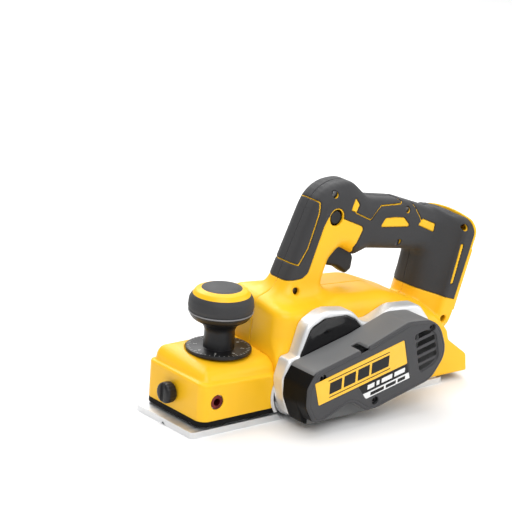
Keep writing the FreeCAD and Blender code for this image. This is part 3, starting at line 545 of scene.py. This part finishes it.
# %% [markdown]
# Soft rubber is moulded over the grip, and yellow plastic shows through it in windows and
# fine lines. The plan of the rubber is drawn in the side view, and the windows and lines
# are taken out of it. The same plan sinks the yellow shell by the rubber's depth, so the
# two always fit, and the rubber stands a hair proud with a rounded lip.
# %% Plan of the rubber
rubber_points = from_drum([(-12, 122), (5, 118.5), (19, 121, 3), (25, 125, 3), (40, 166, 3),
                           (45, 175, 3), (64, 170, 3), (88, 159, 4), (78, 141, 3), (82, 131),
                           (110, 110)]) \
    + from_end([(-38, 94.6), (8.4, 79.5), (32.4, 156), (32.4, 260)]) + from_drum([(-12, 260)])
windows = [
    from_drum([(75.3, 188.7, 1), (80.8, 181.3, 1), (77.5, 174.2, 1), (70.9, 177, 1)]),
    from_drum([(107, 156.1, 1.5), (112.6, 164.1, 1.5), (123.9, 163.5, 4), (135.4, 161.6, 4),
               (144.2, 151.4, 1.5)]),
    from_end([(-22.1, 157.3, 1), (-6.2, 149.9, 1), (-7.7, 142, 1), (-27.7, 151.7, 1)]),
]
fine_lines = [
    from_drum([(76.7, 174), (95, 164.8), (102.2, 172.3), (108.2, 175.9), (134, 173.6),
               (136, 174.6), (133, 182), (131, 189)]),
    from_end([(-31, 180), (-30.2, 173), (-28.5, 165), (-24.5, 156.5), (-21, 151)]),
    from_drum([(5, 207), (13.3, 199.7), (26.8, 194.1), (38.6, 187.5), (35.9, 177.3),
               (24.6, 147.5), (15.9, 132.5), (4.2, 135.3), (-18, 144.5)]),
]
cheek_slit = from_end([(13.6, 131), (4.0, 96)])
lock = (drum_x + 54.5, 172.5)
lock_seat, lock_rim = 7.7, 8.9                 # radii of the yellow seat and of the rubber round it
rubber_depth = 1.4
line_half, slit_half = 0.55, 1.4


def rubber_plan(x, z):
    plan = flat(rubber_points, x, z)
    for window in windows:
        plan = without(plan, flat(window, x, z))
    for line in fine_lines:
        plan = without(plan, line_zone(line, x, z, line_half))
    plan = without(plan, line_zone(cheek_slit, x, z, slit_half))
    return without(plan, tube(x, z, *lock, lock_rim))


# %% [markdown]
# Openings of the shell: the slot for the trigger, the lock button's seat, the deep screw
# holes, the chip outlet with its ring, the cooling slots on the chip side, and the two
# rails at the back that a battery slides on. The shell is then made hollow and parted
# along its middle into a left and a right half, as the real one is moulded.
# %% Openings and rails
trigger_points = from_drum([(46, 148, 3.5), (46, 138, 3), (56, 124, 4), (68, 120.5, 8), (80, 112, 3),
                            (86.5, 116, 4), (88, 127, 3), (81, 139.5, 3), (60, 146.5, 3)])
full_pull = math.radians(10)
trigger_gap, trigger_slot_half = 1.4, 8.2
screw_places = [(drum_x + 52.6, 194.0), (drum_x + 12.4, 109.7), (drum_x + 131.0, 138.0),
                (sole_end - 40.3, 167.8), (sole_end + 17.3, 147.0), (sole_end - 3.0, 62.0)]
duct = (drum_x + 25.0, drum_z + 49.0)
duct_seat = 18.6


def trigger_slot(x, y, z):
    """The slot clears the lever at rest, half pulled and fully pulled."""
    along, up = x - pivot[0], z - pivot[1]
    sides = []
    for pulled in (0.0, full_pull / 2, full_pull):
        turn_cos, turn_sin = math.cos(pulled), math.sin(pulled)
        sides.append(flat(trigger_points, pivot[0] + along * turn_cos + up * turn_sin,
                          pivot[1] - along * turn_sin + up * turn_cos))
    return np.maximum(np.minimum.reduce(sides) - trigger_gap, np.abs(y) - trigger_slot_half)


def rails_field(x, y, z):
    out, up = leaned(x, z)
    side = np.abs(y)
    web = brick(out, side, up, (-2, 24, -34), (7, 27, 26))
    hook = brick(out, side, up, (4.6, 24, -34), (7, 31, 26))
    stop = brick(out, side, up, (-2, -27, 23), (7, 27, 26))
    return np.minimum(np.minimum(web, hook), stop)


def screw_holes(x, y, z, radius=3.4):
    holes = [tube(x, z, *place, radius) for place in screw_places]
    return np.maximum(np.minimum.reduce(np.broadcast_arrays(*holes)), y + 12)


shell_wall = 3.8


def shell_field(x, y, z):
    handle = handle_field(x, y, z)
    join = 15 - 11 * ramp(x, sole_end - 55, sole_end - 32)
    solid = melt(body_field(x, y, z), handle, join)
    under = brick(x, y, z, (drum_x - 19, -38, 0), (sole_end + 22, 38, 11))
    hollow = np.minimum(solid + shell_wall, under)
    plan = rubber_plan(x, z)
    sunk = np.maximum(plan - 0.25, -(handle + rubber_depth))
    solid = without(np.minimum(solid, rails_field(x, y, z)), sunk, 0.3)
    solid = np.minimum(solid, flange_field(x, y, z))
    solid = without(solid, hollow, 0.3)
    out, up = leaned(x, z)
    solid = without(solid, brick(out, y, up, (-6, -19.2, -19.2), (12, 19.2, 19.2)), 0.8)
    solid = without(solid, trigger_slot(x, y, z), 0.8)
    solid = without(solid, tube(x, z, *lock, lock_seat), 0.8)
    solid = without(solid, screw_holes(x, y, z), 0.8)
    solid = without(solid, np.maximum(tube(x, z, *duct, duct_seat), -y), 0.5)
    for k in range(6):
        front = motor_x - 22 + 8 * k
        vent = brick(x, y, z, (front, 30, motor_z - 16), (front + 4, 60, motor_z + 16), 1.5)
        solid = without(solid, vent, 0.5)
    return without(solid, tube(x, z, drum_x, drum_z, drum_clear), 0.3)


def rubber_field(x, y, z):
    handle = handle_field(x, y, z)
    skin = both(handle - 0.35, rubber_plan(x, z), 0.9)
    skin = np.maximum(skin, -(handle + rubber_depth))
    skin = without(skin, trigger_slot(x, y, z), 0.8)
    return without(skin, screw_holes(x, y, z, 3.1), 0.8)


# %% Making the halves
parting = 0.06
for side, name in ((-1, "left"), (1, "right")):
    low_y, high_y = (-44, 0) if side < 0 else (0, 44)

    def half_shell(x, y, z):
        return np.maximum(shell_field(x, y, z), parting - side * y)

    def half_rubber(x, y, z):
        return np.maximum(rubber_field(x, y, z), parting - side * y)

    shell = moulded(name + "_shell", half_shell, (drum_x - 24, low_y, 6),
                    (sole_end + 42, high_y, 204), 0.8)
    dress(shell, "yellow", "root", "housing_" + name, slot="yellow_shell")
    rubber = moulded(name + "_rubber", half_rubber, (drum_x - 12, low_y * 0.9, 75),
                     (sole_end + 32, high_y * 0.9, 204), 0.55)
    dress(rubber, "rubber", "root", "grip_" + name, slot="rubber_skin")


# %% [markdown]
# The nose is a low box with a shoulder line all round: below it the walls are upright,
# above it they draw in a little and roll over into the flat top under the knob.
# %% Nose cover
nose_low, nose_high, nose_back = 13.0, 60.4, drum_x - 23.0
nose_wall = 2.6
disc = (60.6, 63.8)                            # under and upper side of the knob's scale disc
disc_radius, disc_gap = 29.6, 0.8
wrench = (2.0, 29.0)                           # y and z of the blade wrench's axis


def nose_field(x, y, z):
    shoulder = 48.2 - 0.042 * (x - 10)
    plan = pillow(np.maximum(10 - x, x - nose_back - 20), y, half_sole, 9)
    upright = both(plan, z - shoulder, 3)
    plan_in = pillow(np.maximum(13.2 - x, x - nose_back - 20), y, half_sole - 3.2, 9)
    roof = nose_high + 0.09 * y
    top = both(plan_in, z - roof, 16)
    shape = melt(upright, top, 2.5)
    inner = np.maximum(shape + nose_wall, z - nose_high + nose_wall)
    under = brick(x, y, z, (13, -38, 0), (nose_back + 9, 38, 30))
    ends = np.maximum(nose_low - z, x - nose_back + 0.1)
    shape = np.maximum(without(shape, np.minimum(inner, under)), ends)
    shape = without(shape, tube(x, y, knob_x, 0, 13.2), 0.3)
    seat = np.maximum(tube(x, y, knob_x, 0, disc_radius + disc_gap), disc[0] - 0.3 - z)
    shape = without(shape, seat, 0.4)
    shape = without(shape, np.maximum(tube(x, z, 27.2, 29.7, 6.4), 36 - np.abs(y)), 2.5)
    shape = without(shape, np.maximum(tube(y, z, *wrench, 3.6), x - 30), 0.5)
    return without(shape, tube(x, z, drum_x, drum_z, drum_clear), 0.3)


nose = moulded("nose_shell", nose_field, (9, -43, 12), (nose_back, 43, 65), 0.6)
dress(nose, "yellow", "root", "nose_cover", slot="yellow_shell")


# %% [markdown]
# The belt side is a stack: a cast plate with an arch, a gloss cap set into the arch, and
# the belt's cover in front. The cover is a deep tray whose face carries the label, a
# louvre over the motor and an arch in its lower edge, with a lower wall standing back
# behind it that reaches round the drum pulley. One field draws all of it, and three pieces
# are cut from that field. Walls and face are one plastic in two painted tones: the walls
# lighter, as painted light from above, and the face darker, as painted shade. The black
# front end is a front with no shine.
# %% Outlines of the belt side
plate_points = from_drum([(-17, 9, 4), (-24, 24, 10), (-27, 44, 8), (-21, 62, 4), (-11, 63, 4),
                          (-2, 92, 14), (18, 102, 26), (48, 97.5, 20), (66, 80, 18)]) \
    + [(motor_x + 2, motor_z + 32.5, 24), (motor_x + 34, motor_z + 30, 14),
       (motor_x + 50, motor_z + 10, 16), (motor_x + 38, motor_z - 36, 20), (motor_x - 30, 9, 20)]
cap_points = from_drum([(-10, 60.5, 2), (1, 88, 9), (16, 95, 12), (42, 94, 14), (53, 88, 6),
                        (62, 78.0, 1)])
cover_upper = from_drum([(-27, 30, 14), (-27, 47, 8), (-18, 61, 5), (45, 76.3, 60)]) + [
    (motor_x - 8, motor_z + 30.5, 20), (motor_x + 27, motor_z + 27.5, 24),
    (motor_x + 40, motor_z - 6, 22)]
cover_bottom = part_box("belt_cover")[0].z * 1000
face_bottom = drum_z - 10
low_points = from_drum([(-17, cover_bottom, 8)]) + cover_upper + [
    (motor_x + 26, motor_z - 29, 20), (motor_x - 36, cover_bottom, 24)]
face_points = from_drum([(-18, face_bottom, 7)]) + cover_upper + [
    (motor_x + 22, motor_z - 29.5, 20), (motor_x - 40, face_bottom + 1.5, 30)] \
    + from_drum([(43, face_bottom + 0.5, 5), (27, face_bottom + 11.5, 7), (20, face_bottom + 11.5, 7),
                 (-7, face_bottom, 5)])
label_points = from_drum([(-20, 51.5, 2), (82, 75, 2), (87.8, 51, 2), (-14, 29, 2)])
print_points = from_drum([(30, 40.5, 1), (87.8, 52.5, 1), (91.6, 36.4, 2), (41.5, 25.3, 2)])
louvre_points = [(motor_x - 1.8, motor_z + 17.6, 3), (motor_x + 13.7, motor_z + 20.4, 6),
                 (motor_x + 24, motor_z + 15, 8), (motor_x + 29.9, motor_z - 9.1, 8),
                 (motor_x + 22.5, motor_z - 15.5, 6), (motor_x + 7.8, motor_z - 20.6, 3)]
cover_screws = from_drum([(-10.5, drum_z + 31), (52, drum_z - 1)]) + [(motor_x + 19, motor_z + 21)]
screw_seat = 3.7
panel_depth = 2.9                              # the face piece ends this far behind the face
wall = 2.5


# %% Side plate, cap and cover
def plate_field(x, y, z):
    shape = slab(flat(plate_points, x, z), y, plate_outer, plate_outer + 40, 3.5)
    shape = np.maximum(shape, y + half_sole)
    shape = without(shape, np.maximum(flat(low_points, x, z) + 4, y - plate_outer - 9), 1)
    return without(shape, np.maximum(flat(cap_points, x, z), y - plate_outer - 4), 1.2)


def cap_field(x, y, z):
    side = flat(cap_points, x, z) + 0.15
    dome = plate_outer + 0.4 - 1.2 * ramp(-side, 0, 12)
    return both(np.maximum(side, y - plate_outer - 3.9), dome - y, 1.2)


def louvre_slots(x, y, z):
    slots = []
    for k in range(5):
        middle = motor_z - 16.0 + 8.2 * k
        lean_z = z - 0.23 * (x - motor_x - 12)
        slots.append(brick(x, y, lean_z, (motor_x, cover_face - 2, middle - 2.3),
                           (motor_x + 31, cover_face + 6, middle + 2.3), 1.6))
    return np.maximum(np.minimum.reduce(slots), flat(louvre_points, x, z) + 1.2)


def cover_field(x, y, z):
    face = flat(face_points, x, z)
    low = flat(low_points, x, z)
    shape = slab(face, y, cover_face, plate_outer + 9, 2.2)
    shape = np.minimum(shape, slab(low, y, low_face, plate_outer + 9, 1.5))
    hollow = np.minimum(slab(face + wall, y, cover_face + wall, plate_outer + 20),
                        slab(low + wall, y, low_face + wall, plate_outer + 20))
    shape = np.maximum(without(shape, hollow, 0.4), y - plate_outer)
    for sunk in (label_points, print_points):
        shape = without(shape, slab(flat(sunk, x, z), y, cover_face - 5, cover_face + 0.9, 0.2), 0.4)
    louvre = slab(flat(louvre_points, x, z), y, cover_face - 5, cover_face + 1.7, 0.4)
    shape = without(shape, louvre, 0.6)
    shape = without(shape, louvre_slots(x, y, z), 0.6)
    for px, pz in cover_screws:
        seat = slab(tube(x, z, px, pz, screw_seat), y, cover_face - 9, cover_face + 3, 0.2)
        shape = without(shape, seat, 0.8)
    rim = np.abs(face + 3.2) - 0.45
    shape = without(shape, slab(rim, y, cover_face - 5, cover_face + 0.5, 0.2), 0.4)
    notch = brick(x - 0.35 * (z - 70), y, z, (drum_x + 31, cover_face - 5, 62),
                  (drum_x + 39.5, cover_face + 17, 90), 0.8)
    return without(shape, np.maximum(notch, -(face + 3.0)), 0.5)


front_end = drum_x - 14.0


def front_end_zone(x, y, z):
    return np.maximum(np.maximum(x - front_end, cover_face + wall - y), z - 58)


def cover_walls(x, y, z):
    shape = np.maximum(cover_field(x, y, z), 0.05 - front_end_zone(x, y, z))
    return np.maximum(shape, cover_face + panel_depth - y)


def cover_panel(x, y, z):
    lip = 0.7 * ramp(y, cover_face + panel_depth - 0.9, cover_face + panel_depth - 0.5)
    return np.maximum(cover_field(x, y, z) + lip, y - cover_face - panel_depth + 0.05)


def cover_front(x, y, z):
    return np.maximum(cover_field(x, y, z), front_end_zone(x, y, z))


cover_low = (drum_x - 28, cover_face, cover_bottom)
cover_high = (motor_x + 41, plate_outer, motor_z + 32)
plate_low = (drum_x - 28, plate_outer, 8)
plate_high = (motor_x + 50, -half_sole, 103)
plate = moulded("cast_plate", plate_field, plate_low, plate_high, 0.6)
dress(plate, "cast", "root", "side_plate", slot="cast_alloy")
cap = moulded("gloss_cap", cap_field, (drum_x - 12, plate_outer - 1, 59),
              (drum_x + 63, plate_outer + 4, 96), 0.5)
dress(cap, "gloss", "root", "duct_cap", slot="gloss_black")
# Walls and face take lit and shaded copies of one colour: painted light on the walls, painted shade on
# the face.
tray = moulded("belt_tray", cover_walls, cover_low, cover_high, 0.55, smooth=1)
dress(tray, "walls_painted_lit", "root", "belt_cover", slot="cover_grey")
face_high = (cover_high[0], cover_face + panel_depth, cover_high[2])
tray_face = moulded("tray_face", cover_panel, cover_low, face_high, 0.5, smooth=1)
dress(tray_face, "face_painted_shade", "root", "belt_cover", slot="cover_grey")
tray_front = moulded("tray_front", cover_front, cover_low, (front_end, plate_outer, 58), 0.55, smooth=1)
dress(tray_front, "shade", "root", "cover_front_wall", slot="gloss_black")


# %% [markdown]
# The label is three pieces of printed film: a yellow strip, a black field under it and a
# white bar. Thin film is best as a flat outline with a little thickness and a bevel.
# In place of lettering it carries only plain bars and lines.
# %% Label
film_bevel = 0.15


def film(name, points, front, depth, colour):
    """A flat outline in the side view, made solid and softened along its rim."""
    line = traced(points)
    shape = bmesh.new()
    low = [shape.verts.new(((p.x / 1000) + lip, front / 1000, p.y / 1000)) for p in line]
    face = shape.faces.new(low)
    pushed = bmesh.ops.extrude_face_region(shape, geom=[face])["geom"]
    bmesh.ops.translate(shape, verts=[v for v in pushed if isinstance(v, bmesh.types.BMVert)],
                        vec=(0, depth / 1000, 0))
    bmesh.ops.recalc_face_normals(shape, faces=shape.faces)
    mesh = bpy.data.meshes.new(name)
    shape.to_mesh(mesh)
    shape.free()
    thing = placed(name, mesh, 30)
    edge = thing.modifiers.new("soft edge", "BEVEL")
    edge.width = film_bevel / 1000
    edge.segments = 2
    edge.limit_method = "ANGLE"
    return dress(thing, colour, "root", slot="label")


def on_label(across, up):
    """A point on the label from its lower front corner, along it and up it, in mm."""
    along = Vector((101.0, 22.0)).normalized()
    upward = Vector((-6.0, 22.5)).normalized()
    return Vector((drum_x - 14, 29)) + along * across + upward * up


def label_strip(name, corners, front, colour):
    points = [(*on_label(a, b), 0.4) for a, b in corners]
    return film(name, points, front, 0.35, colour)


film_front = cover_face + 0.35
yellow_corners = [(0.6, 22.8), (104, 24.4), (103.6, 0.6), (0.6, 0.6)]
yellow_film = film("label_yellow", [(*on_label(a, b), 1.2) for a, b in yellow_corners],
                   film_front, 0.5, "label")
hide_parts("cover_label")
label_strip("label_black", [(46, -0.4), (103.4, -0.4), (103.7, -8.2), (48, -8.0)], film_front, "print")
label_strip("label_white", [(46, -8.8), (103.8, -8.8), (104, -14.6), (53, -14.6)], film_front, "white")
bars = [("print", 6.5, 17.0, [(15, 29), (31.5, 45), (47.5, 61), (63.5, 84)]),
        ("print", 19.2, 20.0, [(15, 86)]),
        ("print", 3.4, 4.2, [(13, 84)]),
        ("white", -6.4, -2.2, [(56, 64), (66.5, 70), (72.5, 85), (87.5, 100)]),
        ("print", -13.4, -10.2, [(58, 74), (76, 88), (90, 99)])]
for row, (colour, low, high, spans) in enumerate(bars):
    for k, (start, end) in enumerate(spans):
        slant = (high - low) * 0.14
        corners = [(start - slant, low), (start + slant, high), (end + slant, high), (end - slant, low)]
        label_strip(f"label_bar_{row}_{k}", corners, film_front - 0.1, colour)


# %% [markdown]
# Turned pieces come from a profile swept round an axis. That is quicker and truer than
# a field where the shape is round, and the profile keeps its arcs.
# %% Turning
steps = 96


def turned(name, profile, colour, body, *cad, base=(knob_x, 0, 0), axis="z", slot=None):
    """Sweep (radius, height) points round an upright axis, or one along y, through base."""
    line = traced(profile, 5)
    shape = bmesh.new()
    rings = []
    for k in range(steps):
        angle = 2 * math.pi * k / steps
        radii = [max(p.x, 0.001) for p in line]
        rings.append([shape.verts.new((radius * math.cos(angle), radius * math.sin(angle), p.y))
                      for radius, p in zip(radii, line)])
    for k in range(steps):
        near, far = rings[k], rings[(k + 1) % steps]
        for i in range(len(line)):
            j = (i + 1) % len(line)
            shape.faces.new((near[i], far[i], far[j], near[j]))
    bmesh.ops.remove_doubles(shape, verts=shape.verts, dist=0.004)
    bmesh.ops.recalc_face_normals(shape, faces=shape.faces)
    turn = {"z": Matrix(), "y": Matrix.Rotation(math.radians(-90), 4, "X")}[axis]
    place = Matrix.Translation((lip + base[0] / 1000, base[1] / 1000, base[2] / 1000))
    shape.transform(place @ Matrix.Scale(0.001, 4) @ turn)
    mesh = bpy.data.meshes.new(name)
    shape.to_mesh(mesh)
    shape.free()
    return dress(placed(name, mesh, 35), colour, body, *cad, slot=slot)


# %% [markdown]
# The depth knob is a stack on one spindle: a scale disc and straight stem in one black
# moulding, a soft band round the head, a thin pale ring under it, a yellow ring and a
# dark cap on top. Marks and numbers on the disc are thin printed shapes.
# %% Depth knob
knob_top = 119.5
band = (98.5, 113.6)                           # the soft band's lower and upper height
numbers, ticks = 8, 40
tick_end, number_radius = 28.2, 21.6
stem = [(5.2, disc[0]), (disc_radius, disc[0], 0.6), (disc_radius, disc[1], 0.7), (14.0, disc[1], 0.5),
        (13.6, 83.5, 10), (19, 87.5, 6), (26, 91.5, 8), (28.6, 96.2, 1.5), (28.6, 98.6), (10, 98.6),
        (10, 96), (5.2, 96)]
turned("knob_stem", stem, "black", "depth_knob", "knob_core", slot="black_moulding")
pale_ring = [(26, 96.9), (29.1, 96.9, 0.4), (29.3, 98.2, 0.3), (26, 98.2)]
turned("knob_pale_ring", pale_ring, "ring", "depth_knob", slot="black_moulding")
soft_band = [(20, band[0]), (28.8, band[0], 1), (29.5, 102.5, 4), (28.9, 109.5, 8),
             (26.1, band[1], 1.5), (20, band[1])]
turned("knob_soft_band", soft_band, "rubber", "depth_knob", "knob_band", slot="rubber_skin")
yellow_ring = [(17, 112), (25.9, 112), (25.9, band[1], 0.8), (23.5, 117, 3), (18.8, 118.8, 1),
               (17, 118.8)]
turned("knob_yellow_ring", yellow_ring, "yellow", "depth_knob", "knob_ring", slot="yellow_ring")
disc_cap = [(0, 117), (18.4, 117), (18.4, 119.0, 0.6), (14, knob_top, 3), (0, knob_top)]
turned("knob_disc_cap", disc_cap, "rubber", "depth_knob", "knob_cap", slot="black_moulding")


def dial_marks():
    """Ticks on the disc's upper face: a long one at each number and short ones between."""
    shape = bmesh.new()
    for k in range(ticks):
        angle = 2 * math.pi * k / ticks
        length = 3.6 if k % (ticks // numbers) == 0 else 2.0
        middle = Matrix.Translation((tick_end - length / 2, 0, disc[1] + 0.03))
        tick = Matrix.Rotation(angle, 4, "Z") @ middle
        size = Matrix.Diagonal((length, 0.35, 0.12, 1))
        bmesh.ops.create_cube(shape, size=1, matrix=tick @ size)
    bmesh.ops.bevel(shape, geom=shape.edges[:], offset=0.02, segments=1, affect="EDGES")
    shape.transform(Matrix.Translation((lip + knob_x / 1000, 0, 0)) @ Matrix.Scale(0.001, 4))
    mesh = bpy.data.meshes.new("dial_marks")
    shape.to_mesh(mesh)
    shape.free()
    return dress(placed("dial_marks", mesh, 30), "scale", "depth_knob", slot="label")


def dial_number(text, angle):
    curve = bpy.data.curves.new("dial_number", "FONT")
    curve.body = text
    curve.size = 4.6
    curve.extrude = 0.06
    curve.align_x, curve.align_y = "CENTER", "CENTER"
    source = bpy.data.objects.new("dial_number", curve)
    mesh = bpy.data.meshes.new_from_object(source)
    bpy.data.objects.remove(source)
    spin = Matrix.Rotation(angle, 4, "Z") @ Matrix.Translation((number_radius, 0, disc[1] + 0.05))
    spin = spin @ Matrix.Rotation(math.radians(90), 4, "Z")
    mesh.transform(Matrix.Translation((lip + knob_x / 1000, 0, 0)) @ Matrix.Scale(0.001, 4) @ spin)
    return dress(placed("dial_number_" + text, mesh, 30), "scale", "depth_knob", slot="label")


dial_marks()
for k in range(numbers):
    dial_number(str(k), 2 * math.pi * k / numbers)
print("dial with", ticks, "ticks and", numbers, "numbers")


# %% [markdown]
# Small pieces that hands touch: the trigger and the lock button, the drawn-out knob of
# the blade wrench, and the ring of the chip outlet.
# %% Trigger, lock button, wrench and outlet
def trigger_field(x, y, z):
    side = flat(trigger_points, x, z)
    shape = pillow(side, y, 6.9, 3.2)
    return without(shape, tube(x, z, *pivot, 2.05), 0.2)


lever = moulded("trigger_lever", trigger_field, (drum_x + 45, -7, 112), (drum_x + 86, 7, 149), 0.5)
dress(lever, "black", "trigger", "trigger", slot="black_moulding")
button = [(0, -16.6), (5.6, -17.2, 0.8), (6.4, -16, 0.6), (6.4, 16, 0.6), (5.6, 17.2, 0.8), (0, 16.6)]
turned("lock_button_turned", button, "black", "lock_button", "lock_off_button",
       base=(lock[0], 0, lock[1]), axis="y", slot="black_moulding")


grip_radius, flutes = 9.6, 18


def wrench_field(x, y, z):
    across, up = y - wrench[0], z - wrench[1]
    far = np.sqrt(across ** 2 + up ** 2)
    grip = far - grip_radius + 0.12 * np.cos(np.arctan2(up, across) * flutes)
    head = both(grip, np.abs(x - 4.1) - 5.6, 4.0)
    head = without(head, brick(x, y, z, (-3, -0.2, 19), (0.2, 4.2, 39), 0.6), 0.8)
    return np.minimum(head, np.maximum(far - 3, np.abs(x - 23) - 21))


wrench_knob = moulded("wrench_knob", wrench_field, (-2, -8, 19), (45, 12, 39), 0.4)
dress(wrench_knob, "black", "blade_wrench", "blade_wrench", slot="black_moulding")
collar = [(17, 42), (21, 42), (21, 46, 0.6), (20, 47.4, 0.6), (20, 49, 0.6), (20.8, 50, 0.6),
          (20.8, 52, 0.8), (17, 52, 0.6)]
turned("outlet_ring", collar, "black", "root", "outlet_collar", base=(duct[0], 0, duct[1]),
       axis="y", slot="black_moulding")


# %% [markdown]
# A product table: a wide pale floor, one large soft light over the front left, a weaker one
# on the right, a strip behind that draws the top edges, and one overhead that lights the
# upper walls. Big lights make the broad, soft highlights that moulded plastic shows.
# %% Floor, lights and camera
def floor():
    shape = bmesh.new()
    bmesh.ops.create_grid(shape, x_segments=24, y_segments=24, size=6)
    mesh = bpy.data.meshes.new("floor")
    shape.to_mesh(mesh)
    shape.free()
    thing = placed("floor", mesh)
    material = bpy.data.materials.new("pale_paper")
    material.use_nodes = True
    tree = material.node_tree
    cloud = add(tree, "TexNoise", [("Scale", 3.0)])
    tones = [(6, [0.86, 0.86, 0.86, 1]), (7, [0.9, 0.9, 0.9, 1])]
    tone = add(tree, "Mix", [(0, cloud.outputs[0]), *tones], data_type="RGBA")
    tree.links.new(tone.outputs[2], tree.nodes["Principled BSDF"].inputs["Base Color"])
    tree.nodes["Principled BSDF"].inputs["Roughness"].default_value = 0.8
    mesh.materials.append(material)


def lamp(name, place, aim, size, power):
    data = bpy.data.lights.new(name, "AREA")
    data.shape = "RECTANGLE"
    data.size, data.size_y = size
    data.energy = power
    thing = bpy.data.objects.new(name, data)
    bpy.context.scene.collection.objects.link(thing)
    thing.location = place
    thing.rotation_euler = (Vector(aim) - Vector(place)).to_track_quat("-Z", "Y").to_euler()


def camera(azimuth, elevation, roll, distance, target, lens):
    data = bpy.data.cameras.new("camera")
    data.lens = lens
    data.sensor_width = 36
    thing = bpy.data.objects.new("camera", data)
    bpy.context.scene.collection.objects.link(thing)
    level = math.cos(elevation)
    back = Vector((-math.sin(azimuth) * level, -math.cos(azimuth) * level, math.sin(elevation)))
    right = Vector((math.cos(azimuth), -math.sin(azimuth), 0))
    up = back.cross(right)
    rolled_right = math.cos(roll) * right + math.sin(roll) * up
    rolled_up = math.cos(roll) * up - math.sin(roll) * right
    turn = Matrix((rolled_right, rolled_up, back)).transposed()
    thing.matrix_world = Matrix.Translation(Vector(target) + back * distance) @ turn.to_4x4()
    bpy.context.scene.camera = thing


floor()
lamp("key", (-0.9, -1.3, 1.5), (-0.05, 0, 0.08), (1.2, 1.2), 24)
lamp("fill", (1.2, -1.0, 0.7), (0, 0, 0.08), (1.0, 1.0), 8)
lamp("rim", (0.4, 1.3, 1.2), (0, 0, 0.1), (1.8, 0.7), 26)
lamp("top", (0.0, 0.1, 1.7), (0, 0, 0.1), (1.4, 1.0), 14)
world = bpy.data.worlds.new("studio")
world.use_nodes = True
sky = world.node_tree
path = add(sky, "LightPath")
strength = add(sky, "MapRange", [("Value", path.outputs["Is Camera Ray"]), ("To Min", 0.38),
                                 ("To Max", 1.0)])
sky.nodes["Background"].inputs["Color"].default_value = (1, 1, 1, 1)
sky.links.new(strength.outputs[0], sky.nodes["Background"].inputs["Strength"])
bpy.context.scene.world = world
bpy.context.scene.view_settings.view_transform = "Standard"
camera(math.radians(38.99), math.radians(17.89), math.radians(3.632), 2.5,
       (lip + 0.09363, 0, 0.14258), 197.9)
